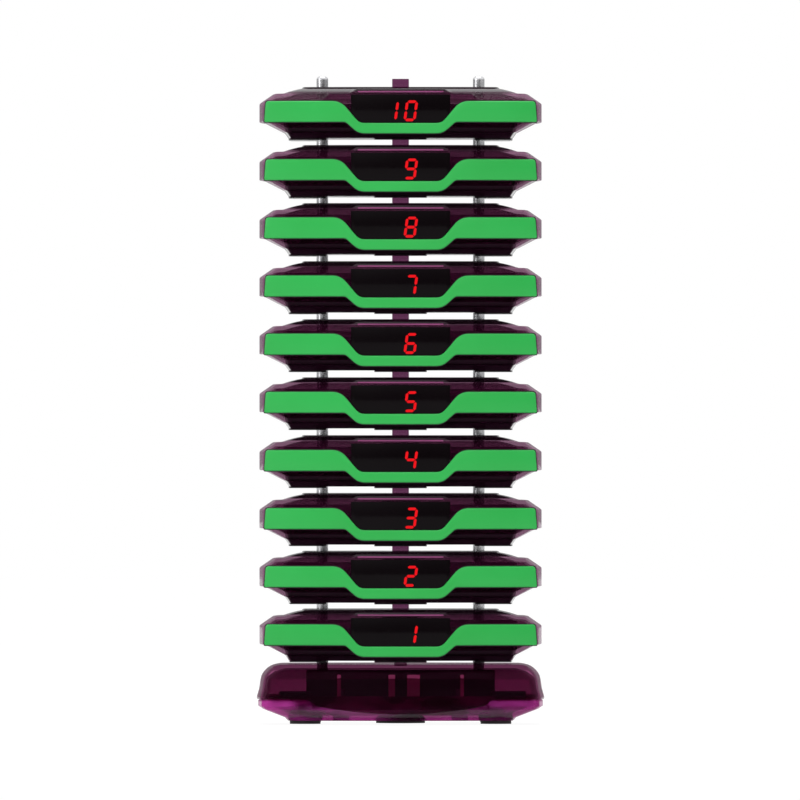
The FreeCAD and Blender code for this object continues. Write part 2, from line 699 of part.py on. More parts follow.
def inlet_box(name, clear, rear):
    """The body of the power inlet, or the opening that it fits."""
    width, height = ("%s + 2 * (%s)" % (across, clear) for across in ("inlet_width", "inlet_height"))
    bottom = "base_board_height + base_board_thickness - (%s)" % clear
    inner_end = INLET_REAR + " - inlet_length"
    length, middle = "%s - (%s)" % (rear, inner_end), "(%s + %s) / 2" % (rear, inner_end)
    return box(name, width, length, height, "0", middle, bottom)


def make_base_cover():
    outside = base_loft("cover_outside", [("0", "cover_bottom"), ("cover_flare_inset", "cover_flare_top")]
                        + shoulder_levels("0", "0"))
    cavity = base_loft("cover_cavity", [("base_wall", "cover_bottom - 1"),
                                        ("cover_flare_inset + base_wall", "cover_flare_top")]
                       + shoulder_levels("base_wall", "base_wall"))
    shell = cut("cover_walls", outside, cavity)
    drop = "(apron_end - apron_middle)"
    radius = "(apron_half_width ^ 2 + %s ^ 2) / (2 * %s)" % (drop, drop)
    flap = front_shape("base_apron_outline", [("apron_half_width", "apron_middle - 1"),
                                              ("apron_half_width", "cover_bottom + apron_lap")])
    edge = add("Part::Cylinder", "base_apron_edge", Radius=radius, Height="base_grow + pager_depth",
               z="apron_middle + " + radius)
    edge.Placement.Rotation = FreeCAD.Rotation(Vector(1, 0, 0), 90)
    flap = front_skin("base_apron", common("base_apron_flap", flap, edge), "base_grow - seat_gap",
                      "base_grow - base_wall")
    tab_height = "first_pager + tab_top - stack_pitch - cover_top + 1"
    tab = box("base_tab", "base_tab_width", "tab_thickness", tab_height, "0",
              "tab_thickness / 2 - tab_front", "cover_top - 1")
    bosses = four("cover_boss", lambda name, right, back: cylinder(
        name, "screw_boss_diameter", "cover_top - base_wall / 2 - screw_boss_split", "%d * screw_x" % right,
        "%d * screw_y" % back, "screw_boss_split"))
    pilots = four("cover_pilot", lambda name, right, back: cylinder(
        name, "screw_diameter + seat_gap", "screw_tip + 1 - screw_boss_split + 1", "%d * screw_x" % right,
        "%d * screw_y" % back, "screw_boss_split - 1"))
    solid = fuse("cover_solid", shell, flap, tab, *bosses)
    rear_opening = inlet_box("inlet_opening", "seat_gap", "(pager_depth / 2 + base_grow + 1)")
    openings = base_openings("cover_hole", "2 * cover_top", "cover_flare_top") + pilots + [rear_opening]
    return cut("base_cover", solid, fuse("cover_openings", *openings))


def foot_boss(name, diameter, lean, x, y):
    """A boss over a foot, narrower at its top."""
    return add("Part::Cone", name, Radius1="(%s) / 2" % diameter, Radius2="(%s) / 2 - %s" % (diameter, lean),
               Height="boss_top - base_bottom", x=x, y=y, z="base_bottom")


def make_base_tray():
    outside = base_loft("tray_shell_outside", [
        ("base_foot_inset", "base_bottom"),
        ("base_plinth_inset", "base_plinth_top"),
        ("base_slope_inset", "base_slope_top"),
        ("base_edge_inset", "base_edge_low"),
        ("base_edge_inset", "base_edge_high"),
        ("base_edge_inset * 2", "base_tray_top"),
    ])
    lip = prism("base_lip", "base_lip_inset - base_grow", "base_slope_top", "base_lip_top")
    cavity = base_loft("tray_shell_cavity", [
        ("base_foot_inset + base_wall / 4", "base_bottom + base_wall"),
        ("base_plinth_inset + base_wall / 4", "base_plinth_top + base_wall"),
        ("base_lip_inset + base_lip_wall", "base_slope_top + base_wall * 2 / 3"),
        ("base_lip_inset + base_lip_wall", "base_lip_top + 1"),
    ])
    walls = cut("tray_shell_walls", fuse("tray_shell_solid", outside, lip), cavity)
    notch_outline = front_shape("tray_notch_outline", [("apron_half_width + slip_gap", "base_bottom"),
                                                       ("apron_half_width + slip_gap", "cover_top")])
    notch = front_skin("tray_notch", notch_outline, "base_grow + base_wall",
                       "base_grow - base_wall - slip_gap")
    low = "base_bottom + base_wall / 2"
    bosses = four("foot_boss", lambda name, right, back: foot_boss(
        name, "foot_diameter", "boss_lean", "%d * foot_x" % right, "%d * foot_y" % back))
    bosses.append(foot_boss("middle_boss", "middle_foot_diameter", "middle_boss_lean", "0", "0"))
    bosses += four("tray_screw_boss", lambda name, right, back: cylinder(
        name, "screw_boss_diameter", "screw_boss_split - (%s)" % low, "%d * screw_x" % right,
        "%d * screw_y" % back, low))
    bosses += four("tray_stud", lambda name, right, back: cylinder(
        name, "board_stud_diameter", "base_board_height - (%s)" % low, "%d * base_stud_x" % right,
        "%d * base_stud_y" % back, low))
    openings = [notch, inlet_box("inlet_gap", "seat_gap", "(pager_depth / 2 + base_grow + 1)")]
    openings += four("foot_seat", lambda name, right, back: cylinder(
        name, "foot_diameter - 2 * foot_seat", "foot_seat + 1", "%d * foot_x" % right, "%d * foot_y" % back,
        "base_bottom - 1"))
    middle_seat = "middle_foot_diameter - 2 * foot_seat"
    openings.append(cylinder("middle_seat", middle_seat, "foot_seat + 1", "0", "0", "base_bottom - 1"))
    openings += four("screw_hole", lambda name, right, back: cylinder(
        name, "screw_diameter + 4 * seat_gap", "base_lip_top", "%d * screw_x" % right,
        "%d * screw_y" % back, "0"))
    openings += four("screw_seat", lambda name, right, back: cylinder(
        name, "screw_head_diameter + 4 * seat_gap", "screw_sink + screw_head", "%d * screw_x" % right,
        "%d * screw_y" % back, "0"))
    solid = fuse("tray_with_bosses", walls, *bosses)
    return cut("base_tray", solid, fuse("tray_shell_openings", *openings))


def make_base_feet():
    """Rubber feet, each glued into a shallow seat a little smaller than its boss."""
    height = "base_bottom + foot_seat"
    feet = four("foot", lambda name, right, back: cylinder(
        name, "foot_diameter - 2 * (foot_seat + seat_gap)", height, "%d * foot_x" % right,
        "%d * foot_y" % back, "0"))
    middle = "middle_foot_diameter - 2 * (foot_seat + seat_gap)"
    feet.append(cylinder("foot_middle", middle, height, "0", "0", "0"))
    return group("base_feet", *feet)


def make_base_screws():
    screws = []
    for screw in four("case_screw", lambda name, right, back: (name, right, back)):
        name, right, back = screw
        place = ("%d * screw_x" % right, "%d * screw_y" % back)
        head = cylinder(name + "_head", "screw_head_diameter", "screw_head", *place, "screw_sink")
        shank_bottom = "screw_sink + screw_head / 2"
        shank = cylinder(name + "_shank", "screw_diameter", "screw_tip - (%s)" % shank_bottom, *place,
                         shank_bottom)
        slot = box(name + "_slot", "screw_head_diameter * 2", "screw_head / 3", "screw_head / 2", *place,
                   "screw_sink - screw_head / 8")
        screws.append(cut(name, fuse(name + "_solid", head, shank), slot))
    return group("base_screws", *screws)


def make_base_board():
    """A board with a tail to the rear that carries the power inlet."""
    half, tail = "base_board_width / 2", "base_board_tail / 2"
    front, back = "-base_board_depth / 2", "base_board_depth / 2"
    rear = "pager_depth / 2 - base_board_rear_inset"
    corners = [("-" + half, front), (half, front), (half, back), (tail, back), (tail, rear),
               ("-" + tail, rear), ("-" + tail, back), ("-" + half, back)]
    return plate_body("base_circuit_board", corners, "base_board_thickness", "base_board_height")


def make_contact_carrier():
    bottom = "base_board_height + base_board_thickness"
    height = "carrier_top - (%s)" % bottom
    outside = box("carrier_outside", "carrier_width", "carrier_depth", height, "0", "0", bottom)
    inside = box("carrier_inside", "carrier_width - 2 * carrier_wall", "carrier_depth - 2 * carrier_wall",
                 height + " - carrier_wall + 1", "0", "0", bottom + " - 1")
    walls = cut("carrier_walls", outside, inside)
    holes = fuse("carrier_holes", *base_openings("carrier_hole", "2 * carrier_top"))
    return cut("base_contact_carrier", walls, holes)


def make_base_posts():
    bottom = "base_board_height + base_board_thickness"
    collar = "carrier_top - carrier_wall - seat_gap"
    levels = [
        ("post_shank / 2", bottom),
        ("post_shank / 2", collar + " - post_collar"),
        ("post_collar_diameter / 2", collar + " - post_collar"),
        ("post_collar_diameter / 2", collar),
        ("post_shank / 2", collar),
        ("post_shank / 2", "cover_top"),
        ("post_diameter / 2", "cover_top"),
    ] + nose("first_pager + post_tip - stack_pitch")
    return pair_of_posts("base_charging_posts", levels)


def make_power_inlet():
    """A round barrel socket in a square body, with a pin in its middle."""
    centre = "base_board_height + base_board_thickness + inlet_height / 2"
    body = inlet_box("inlet_body", "0", INLET_REAR)
    bore = add("Part::Cylinder", "inlet_barrel", Radius="inlet_bore / 2", Height="inlet_bore_depth + 1",
               y=INLET_REAR + " + 1", z=centre)
    pin = add("Part::Cylinder", "inlet_centre_pin", Radius="inlet_pin / 2", Height="inlet_pin_length + 1",
              y=INLET_REAR + " - inlet_bore_depth + inlet_pin_length", z=centre)
    for round_part in (bore, pin):
        round_part.Placement.Rotation = FreeCAD.Rotation(Vector(1, 0, 0), 90)
    return fuse("base_power_inlet", cut("inlet_socket", body, bore), pin)


# ---------------------------------------------------------------- the stack

PAGER_PIECES = {
    "upper_shell": make_upper_shell(),
    "lower_shell": make_lower_shell(),
    "front_band": front_skin("front_band", band_shape, "band_proud", "seat_gap - band_recess"),
    "charging_posts": make_charging_posts(),
    "electronics": make_electronics(),
}

sub_parts = [
    make_base_cover(),
    make_base_tray(),
    make_base_feet(),
    make_base_screws(),
    make_base_board(),
    make_contact_carrier(),
    make_base_posts(),
    make_power_inlet(),
]
for level in range(int(size("pager_count"))):
    for piece, drawn in PAGER_PIECES.items():
        copy = group("pager_%02d_%s" % (level + 1, piece), drawn)
        sub_parts.append(bind(copy, z="first_pager + stack_pitch * %d" % level))
doc.recompute()

for thing in doc.Objects:
    if "Invalid" in thing.State or "Error" in thing.State:
        raise RuntimeError("%s was not made: %s" % (thing.Label, thing.State))
for sub_part in sub_parts:
    if sub_part.Shape.isNull() or not sub_part.Shape.isValid():
        raise RuntimeError("%s has no valid shape" % sub_part.Label)

os.makedirs("parts", exist_ok=True)
for sub_part in sub_parts:
    sub_part.Shape.exportStep("parts/%s.step" % sub_part.Label)
    shape = sub_part.Shape
    print("%-28s %d solids  %10.1f mm3" % (sub_part.Label, len(shape.Solids), shape.Volume))
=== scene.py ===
import math

import bpy
import numpy as np
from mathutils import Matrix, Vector


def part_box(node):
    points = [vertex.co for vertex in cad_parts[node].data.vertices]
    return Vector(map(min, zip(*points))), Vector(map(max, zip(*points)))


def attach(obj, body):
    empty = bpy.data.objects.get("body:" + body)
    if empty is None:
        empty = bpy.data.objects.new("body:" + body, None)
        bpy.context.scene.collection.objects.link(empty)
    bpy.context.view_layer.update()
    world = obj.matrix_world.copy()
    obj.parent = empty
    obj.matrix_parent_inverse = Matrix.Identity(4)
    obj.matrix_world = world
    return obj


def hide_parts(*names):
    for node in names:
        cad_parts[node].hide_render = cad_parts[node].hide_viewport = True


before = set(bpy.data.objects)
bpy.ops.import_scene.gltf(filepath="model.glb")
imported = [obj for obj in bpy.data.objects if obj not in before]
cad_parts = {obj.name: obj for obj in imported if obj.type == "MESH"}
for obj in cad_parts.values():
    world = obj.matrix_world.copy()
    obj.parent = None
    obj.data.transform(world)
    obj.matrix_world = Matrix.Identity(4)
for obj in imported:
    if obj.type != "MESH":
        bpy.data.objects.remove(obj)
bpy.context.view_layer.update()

# Everything below is in millimetres until a mesh is made. A pager's heights are above its own pads.
MM = 0.001
PAGERS = 10

# height of the lowest pager's pads, and the rise from one pager to the next
FIRST_PAGER, PITCH = 22.85, 21.55

# plan of a pager: bulging front and rear, flatter sides, rounded corners
HALF_WIDTH, HALF_DEPTH = 52.5, 49.0
FRONT_RADIUS, SIDE_RADIUS, CORNER_RADIUS = 142.0, 500.0, 3.0
FRONT_CENTRE = FRONT_RADIUS - HALF_DEPTH
SIDE_CENTRE = SIDE_RADIUS - HALF_WIDTH
BASE_GROW = 1.0

# front view of the visor: half widths and the heights of its roof line there
VISOR_EDGE = 29.8
VISOR_ROOF = ([0, 16.3, 19.0, 26.2, 29.8], [18.75, 18.75, 17.1, 17.1, 14.2])

# front view of the band: corners of its lower and upper line as half width and height, and the radius
# that each inner corner is rounded by. Both lines end where the band's end is half way up.
BAND_LOW = [(0, 2.15), (15.6, 2.15), (20.35, 6.42), (50.55, 6.42), (50.45, 8.0)]
BAND_LOW_RADII = [6.0, 2.0, 0.5]
BAND_HIGH = [(0, 6.05), (15.25, 6.05), (22.2, 14.2), (49.95, 14.2), (50.1, 12.4)]
BAND_HIGH_RADII = [3.8, 6.5, 1.1]
VISOR_PROUD, BAND_PROUD = 0.3, 0.75

POST_X, POST_Y, POST_RADIUS = 29.15, 15.0, 2.15
TAB_FRONT, TAB_BACK = -37.0, -34.0

# edges sharper than this stay creases, and points round a turned solid, a box's corner and a line's corner
CREASE_ANGLE = math.radians(32)
TURN_STATIONS, CORNER_STEPS, ARC_STEPS = 48, 5, 9


# ------------------------------------------------------------------ meshes

def make_mesh(name, skin, material):
    """Put a skin into a new object at the origin, smooth but for its creases."""
    points, quads, triangles = skin
    mesh = bpy.data.meshes.new(name)
    mesh.from_pydata((points * MM).tolist(), [], quads.tolist() + triangles.tolist())
    mesh.validate()
    mesh.shade_smooth()
    mesh.set_sharp_from_angle(angle=CREASE_ANGLE)
    mesh.materials.append(material)
    piece = bpy.data.objects.new(name, mesh)
    bpy.context.scene.collection.objects.link(piece)
    return piece


def ring_faces(rings, stations):
    """Quads between closed rings: each joins station s and s + 1 of one ring to those of the next."""
    ring, station = np.meshgrid(np.arange(rings - 1), np.arange(stations), indexing="ij")
    after = (station + 1) % stations
    corners = [ring * stations + station, ring * stations + after,
               (ring + 1) * stations + after, (ring + 1) * stations + station]
    return np.stack(corners, axis=-1).reshape(-1, 4)


def closed_skin(rings):
    """A closed surface from rings (rings, stations, 3) whose first and last ring close to a middle point.

    Like every skin here it is three arrays: points in millimetres, quads and triangles.
    """
    count, stations = rings.shape[:2]
    body = rings.reshape(-1, 3)
    points = np.vstack([body, rings[0].mean(axis=0), rings[-1].mean(axis=0)])
    index = np.arange(stations)
    after = (index + 1) % stations
    last = (count - 1) * stations
    middle = np.full(stations, len(body))
    triangles = np.vstack([np.stack([middle, after, index], axis=1),
                           np.stack([middle + 1, last + index, last + after], axis=1)])
    return points, ring_faces(count, stations), triangles


def join_skins(skins):
    """Several skins as one: the faces of each count on from the points of those before it."""
    firsts = np.cumsum([0] + [len(points) for points, _, _ in skins[:-1]])
    return (np.vstack([points for points, _, _ in skins]),
            np.vstack([quads + first for first, (_, quads, _) in zip(firsts, skins)]),
            np.vstack([triangles + first for first, (_, _, triangles) in zip(firsts, skins)]))


def moved(skin, x=0.0, y=0.0, z=0.0):
    """A skin moved along the axes."""
    points, quads, triangles = skin
    return points + np.array([x, y, z]), quads, triangles


def turned(profile):
    """A turned solid: (radius, height) pairs going up, swept round the Z axis."""
    radius, height = np.array(profile, float).T
    angle = np.linspace(0, 2 * math.pi, TURN_STATIONS, endpoint=False)
    rings = np.stack([radius[:, None] * np.cos(angle), radius[:, None] * np.sin(angle),
                      np.repeat(height[:, None], TURN_STATIONS, axis=1)], axis=-1)
    return closed_skin(rings)


def rounded_rectangle(half_x, half_y, radius):
    """Points round a rectangle whose corners are quarter circles, anticlockwise."""
    corner = np.linspace(0, math.pi / 2, CORNER_STEPS)
    angle = np.concatenate([corner + quarter * math.pi / 2 for quarter in range(4)])
    sign_x = np.repeat([1, -1, -1, 1], CORNER_STEPS)
    sign_y = np.repeat([1, 1, -1, -1], CORNER_STEPS)
    return np.stack([sign_x * (half_x - radius) + radius * np.cos(angle),
                     sign_y * (half_y - radius) + radius * np.sin(angle)], axis=-1)


def block(low, high, corner=0.6, edge=0.3):
    """A box with round upright corners, its top and bottom edges rolled by a quarter circle."""
    low, high = np.array(low, float), np.array(high, float)
    middle, half = (low + high) / 2, (high - low) / 2
    roll = np.linspace(0, math.pi / 2, 4)
    rows = [(edge * (1 - math.sin(a)), low[2] + edge * (1 - math.cos(a))) for a in roll]
    rows += [(edge * (1 - math.cos(a)), high[2] - edge * (1 - math.sin(a))) for a in roll]
    rings = []
    for inset, height in rows:
        outline = rounded_rectangle(half[0] - inset, half[1] - inset, max(corner - inset, 0.02))
        rings.append(np.column_stack([outline + middle[:2], np.full(len(outline), height)]))
    return closed_skin(np.array(rings))


# ------------------------------------------------------------------ plan outline

# Stations of a quarter: fixed half widths along the front, then shares of the way to the corner, round it
# and along the side. The quarter is mirrored to go once round the outline.
FIXED_X = np.array([0, 2.5, 5, 7.5, 10, 12.5, 14.2, 15.6, 16.3, 17.2, 18.1, 19, 20.35, 21.6, 23, 24.6, 26.2,
                    27.1, 28, 28.9, 29.8, 29.9, 31])
TO_CORNER = np.linspace(0, 1, 7)[1:]
ROUND_CORNER = np.linspace(0, 1, 8)[1:]
ALONG_SIDE = np.linspace(0, 1, 8)[1:]


def quarter_stations():
    """Of each station of a quarter: its kind (0 front, 1 corner, 2 side), fixed x and share of the way."""
    kind = np.concatenate([np.zeros(len(FIXED_X) + len(TO_CORNER)), np.ones(len(ROUND_CORNER)),
                           np.full(len(ALONG_SIDE), 2)])
    fixed = np.concatenate([FIXED_X, np.full(len(kind) - len(FIXED_X), FIXED_X[-1])])
    share = np.concatenate([np.zeros(len(FIXED_X)), TO_CORNER, ROUND_CORNER, ALONG_SIDE])
    return kind, fixed, share


KIND, FIXED, SHARE = quarter_stations()
LAST = len(KIND) - 1
AROUND = np.concatenate([np.arange(LAST + 1), np.arange(LAST - 1, -1, -1), np.arange(1, LAST + 1),
                         np.arange(LAST - 1, 0, -1)])
SIDE_SIGN = np.concatenate([np.ones(2 * LAST + 1), -np.ones(2 * LAST - 1)])
DEPTH_SIGN = np.concatenate([-np.ones(LAST + 1), np.ones(2 * LAST), -np.ones(LAST - 1)])
KIND, FIXED, SHARE = KIND[AROUND], FIXED[AROUND], SHARE[AROUND]
STATIONS = len(AROUND)
ON_FRONT = (KIND == 0) & (DEPTH_SIGN < 0)


def plan(inset):
    """Where the outline runs when moved in by inset, for an array (rows, stations) of insets.

    The front and side arcs keep their centres and lose the inset from their radii. The corner arc
    touches both from within, so its centre is where their circles, each less the corner's radius, cross.
    """
    front, side = FRONT_RADIUS - inset, SIDE_RADIUS - inset
    reach = math.hypot(SIDE_CENTRE, FRONT_CENTRE)
    along = ((side - CORNER_RADIUS) ** 2 - (front - CORNER_RADIUS) ** 2 + reach ** 2) / (2 * reach)
    off = np.sqrt((side - CORNER_RADIUS) ** 2 - along ** 2)
    corner_x = -SIDE_CENTRE + (SIDE_CENTRE * along + FRONT_CENTRE * off) / reach
    corner_y = (FRONT_CENTRE * along - SIDE_CENTRE * off) / reach
    to_front = np.arctan2(corner_y - FRONT_CENTRE, corner_x)
    to_side = np.arctan2(corner_y, corner_x + SIDE_CENTRE)
    front_x = FIXED + (front * np.cos(to_front) - FIXED) * SHARE
    corner_turn = to_front + (to_side - to_front) * SHARE
    side_turn = to_side * (1 - SHARE)
    x = np.select([KIND == 0, KIND == 1], [front_x, corner_x + CORNER_RADIUS * np.cos(corner_turn)],
                  -SIDE_CENTRE + side * np.cos(side_turn))
    y = np.select([KIND == 0, KIND == 1], [FRONT_CENTRE - np.sqrt(front ** 2 - front_x ** 2),
                                           corner_y + CORNER_RADIUS * np.sin(corner_turn)],
                  side * np.sin(side_turn))
    return x * SIDE_SIGN, -y * DEPTH_SIGN


def shell_rings(inset, height, scale, grow=0.0):
    """Rings of a shell: the outline at each inset and height, drawn in towards the middle by a scale.
    The whole outline lies further out by grow."""
    x, y = plan(inset - grow)
    return np.stack([x * scale, y * scale, height], axis=-1)


def spread(values):
    """A column of one value a row as a full array of rows and stations."""
    return np.repeat(np.array(values, float)[:, None], STATIONS, axis=1)


# ------------------------------------------------------------------ rounded lines of the front view

def rounded_line(corners, radii):
    """A line through corners, each inner corner turned by an arc of its radius that touches both runs."""
    corners = [np.array(corner, float) for corner in corners]
    line = [corners[0]]
    for before, corner, after, radius in zip(corners, corners[1:], corners[2:], radii):
        into, out = corner - before, after - corner
        into, out = into / np.linalg.norm(into), out / np.linalg.norm(out)
        bend = math.acos(float(np.clip(into @ out, -1, 1)))
        start = corner - into * radius * math.tan(bend / 2)
        turn = math.copysign(1.0, into[0] * out[1] - into[1] * out[0])
        centre = start + radius * turn * np.array([-into[1], into[0]])
        angle = np.linspace(0, bend, ARC_STEPS)[:, None] * turn
        arm = start - centre
        line += list(centre + np.hstack([arm[0] * np.cos(angle) - arm[1] * np.sin(angle),
                                         arm[0] * np.sin(angle) + arm[1] * np.cos(angle)]))
    line.append(corners[-1])
    return np.array(line)


def height_of(line, x):
    """Height of a front view line at distances from the middle plane."""
    return np.interp(np.abs(x), line[:, 0], line[:, 1])


def sample(line, cuts, counts):
    """Points along a line, so many evenly within each stretch between the cuts, which are half widths."""
    along = np.concatenate([[0], np.cumsum(np.linalg.norm(np.diff(line, axis=0), axis=1))])
    marks = np.append(np.interp(cuts, line[:, 0], along), along[-1])
    places = [np.linspace(start, end, count, endpoint=False)
              for start, end, count in zip(marks, marks[1:], counts)]
    places = np.concatenate(places + [marks[-1:]])
    return np.column_stack([np.interp(places, along, line[:, 0]), np.interp(places, along, line[:, 1])])


def on_front(x, height, proud):
    """A point of the front view laid on the bulging front face, proud of the rim."""
    return np.stack([x, FRONT_CENTRE - np.sqrt((FRONT_RADIUS + proud) ** 2 - x ** 2), height], axis=-1)


# ------------------------------------------------------------------ finishes

def srgb(red, green, blue):
    """A screen colour, 0 to 255, as the linear colour a shader takes."""
    share = [value / 255 for value in (red, green, blue)]
    linear = [value / 12.92 if value <= 0.04045 else ((value + 0.055) / 1.055) ** 2.4 for value in share]
    return linear + [1.0]


class Finish:
    """A node material under construction: nodes are added by type, links by socket."""

    def __init__(self, name):
        self.material = bpy.data.materials.new(name)
        self.material.use_nodes = True
        self.nodes, self.links = self.material.node_tree.nodes, self.material.node_tree.links
        self.nodes.clear()
        self.place = self.node("ShaderNodeTexCoord").outputs["Object"]

    def node(self, kind, **values):
        """A new node, its settings and inputs given by name."""
        made = self.nodes.new(kind)
        for key, value in values.items():
            if hasattr(made, key):
                setattr(made, key, value)
            else:
                self.put(made.inputs[key.replace("_", " ")], value)
        return made

    def put(self, socket, value):
        """Link the value to the socket where it is a socket too, or set it."""
        if isinstance(value, bpy.types.NodeSocket):
            self.links.new(value, socket)
        else:
            socket.default_value = value

    def noise(self, scale, detail=3.0, stretch=(1, 1, 1)):
        """Noise over the piece, its grain so many a metre, stretched along the axes."""
        mapping = self.node("ShaderNodeMapping", Vector=self.place, Scale=stretch)
        texture = self.node("ShaderNodeTexNoise", Vector=mapping.outputs[0], Scale=scale, Detail=detail)
        return texture.outputs["Fac"]

    def between(self, driver, low, high, start=0.3, end=0.7):
        """A number that goes from low to high as the driver does from start to end."""
        made = self.node("ShaderNodeMapRange")
        for socket, value in zip(("Value", "From Min", "From Max", "To Min", "To Max"),
                                 (driver, start, end, low, high)):
            self.put(made.inputs[socket], value)
        return made.outputs[0]

    def blend(self, factor, first, second):
        """A colour between two colours."""
        made = self.node("ShaderNodeMix", data_type="RGBA")
        for socket, value in zip((0, 6, 7), (factor, first, second)):
            self.put(made.inputs[socket], value)
        return made.outputs[2]

    def math(self, operation, first, second):
        """A sum, product or the like of two numbers."""
        made = self.node("ShaderNodeMath", operation=operation)
        for socket, value in zip(made.inputs, (first, second)):
            self.put(socket, value)
        return made.outputs[0]

    def bump(self, height, strength, distance):
        """Normals of a surface that rises by the distance, in metres, with the height."""
        return self.node("ShaderNodeBump", Height=height, Strength=strength, Distance=distance).outputs[0]

    def surface(self, **sockets):
        """The principled shader, with sockets by name."""
        shader = self.node("ShaderNodeBsdfPrincipled")
        for name, value in sockets.items():
            self.put(shader.inputs[name.replace("_", " ")], value)
        return shader.outputs[0]

    def done(self, shader):
        """The finished material, which shows the shader."""
        output = self.node("ShaderNodeOutputMaterial")
        self.links.new(shader, output.inputs["Surface"])
        return self.material


# Smoked plastic: grains a metre of its flow lines and of its polish, how far it fades to a second tone,
# its refraction, the range of its polish, and how an edge-on view makes it more solid.
FLOW_GRAIN, FLOW_STRETCH, POLISH_GRAIN = 45, (1, 1, 2.5), 900
SECOND_TONE = 0.8
PLASTIC_IOR, EDGE_IOR = 1.49, 1.45
POLISH = (0.08, 0.15)
FLOW_BUMP, FLOW_RISE = 0.08, 0.0004
EDGE_ON = (0.03, 0.9)
GRAZING_SHARE = 0.55

# Painted shade and dark insides: its share of solid, its colour, and the height over which it begins, in
# metres.
PAINTED_SHADE_SHARE, PAINTED_SHADE_COLOUR, PAINTED_SHADE_FADE = 0.92, srgb(30, 9, 23), 0.0003


def smoked_plastic(name, tint, body, share, second=None, shine=0.5, floor=0.0, roof=0.0):
    """See-through tinted plastic: some light passes and takes the tint, the rest meets a glossy body.

    The body takes that share of the light straight on, and GRAZING_SHARE of it at a grazing angle. Its
    colour drifts to the second one. floor and roof are heights in metres above the pads of the pager that a
    point is on. Below the one and above the other the plastic is painted near-black and made more solid:
    partly the dark insides seen through it, partly painted shade where the stacked pagers meet.
    """
    finish = Finish(name)
    flow = finish.noise(FLOW_GRAIN, 2.0, FLOW_STRETCH)
    fine = finish.noise(POLISH_GRAIN, 2.0)
    second = second or [value * SECOND_TONE for value in body[:3]] + [1.0]
    shade = finish.blend(finish.between(flow, 0.0, 1.0, 0.4, 0.6), body, second)
    edge = finish.node("ShaderNodeFresnel", IOR=EDGE_IOR).outputs[0]
    solid = finish.between(edge, share, GRAZING_SHARE, *EDGE_ON)
    # painted shade: near-black and more solid below floor and above roof, partly the dark insides seen
    # through
    if floor or roof:
        height = finish.node("ShaderNodeSeparateXYZ", Vector=finish.place).outputs["Z"]
        above = finish.math("SUBTRACT", height, FIRST_PAGER * MM)
        above = finish.math("FLOORED_MODULO", above, PITCH * MM)
        low, high, limit = (1.0, 0.0, floor) if floor else (0.0, 1.0, roof)
        painted_shade = finish.between(above, low, high, limit, limit + PAINTED_SHADE_FADE)
        shade = finish.blend(painted_shade, shade, PAINTED_SHADE_COLOUR)
        solid = finish.math("MAXIMUM", solid, finish.math("MULTIPLY", painted_shade, PAINTED_SHADE_SHARE))
    glossy = finish.surface(Base_Color=shade, Roughness=finish.between(fine, *POLISH), IOR=PLASTIC_IOR,
                            Specular_IOR_Level=shine, Normal=finish.bump(flow, FLOW_BUMP, FLOW_RISE))
    passing = finish.node("ShaderNodeBsdfTransparent", Color=tint).outputs[0]
    mix = finish.node("ShaderNodeMixShader")
    for socket, value in zip(mix.inputs, (solid, passing, glossy)):
        finish.put(socket, value)
    return finish.done(mix.outputs[0])


# Opaque finishes: grains a metre of the drift in colour, how much rougher the grain gets, and its rise.
DRIFT_GRAIN, GRAIN_ROUGH, GRAIN_RISE = 26, 0.12, 0.00006


def opaque(name, first, second, rough, grain, metallic=0.0, specular=0.5, strength=0.25):
    """Plastic, rubber or metal: colour drifts between two tones, with fine grain in roughness and bump."""
    finish = Finish(name)
    drift = finish.noise(DRIFT_GRAIN)
    fine = finish.noise(grain, 4.0)
    colour = finish.blend(finish.between(drift, 0.0, 1.0), first, second)
    return finish.done(finish.surface(
        Base_Color=colour, Roughness=finish.between(fine, rough, rough + GRAIN_ROUGH), Metallic=metallic,
        Specular_IOR_Level=specular, Normal=finish.bump(fine, strength, GRAIN_RISE)))


def lit_segment(name, unlit, colour, glow):
    """A segment of the display: a dark body that gives off its own light."""
    finish = Finish(name)
    fine = finish.noise(700, 2.0)
    return finish.done(finish.surface(
        Base_Color=unlit, Roughness=finish.between(fine, 0.35, 0.5), Emission_Color=colour,
        Emission_Strength=glow, Specular_IOR_Level=0.05, Normal=finish.bump(fine, 0.1, 0.00003)))


# upper shells are painted near-black above their roof height, lower shells below their floor height: painted
# shade where pagers meet, partly the dark insides
SMOKED = smoked_plastic("smoked_purple_plastic", srgb(212, 183, 202), srgb(100, 34, 76), 0.09, roof=0.0175)
SMOKED_LOWER = smoked_plastic("smoked_purple_lower", srgb(212, 183, 202), srgb(70, 22, 52), 0.07,
                              shine=0.12, floor=0.0027)
SMOKED_THICK = smoked_plastic("smoked_purple_tab", srgb(170, 126, 158), srgb(112, 44, 88), 0.24)
SMOKED_DARK = smoked_plastic("smoked_purple_cover", srgb(190, 142, 172), srgb(74, 14, 52), 0.05)
SMOKED_CLEAR = smoked_plastic("clear_purple_tray", srgb(222, 130, 198), srgb(204, 72, 176), 0.5,
                              second=srgb(84, 8, 62), shine=0.05)
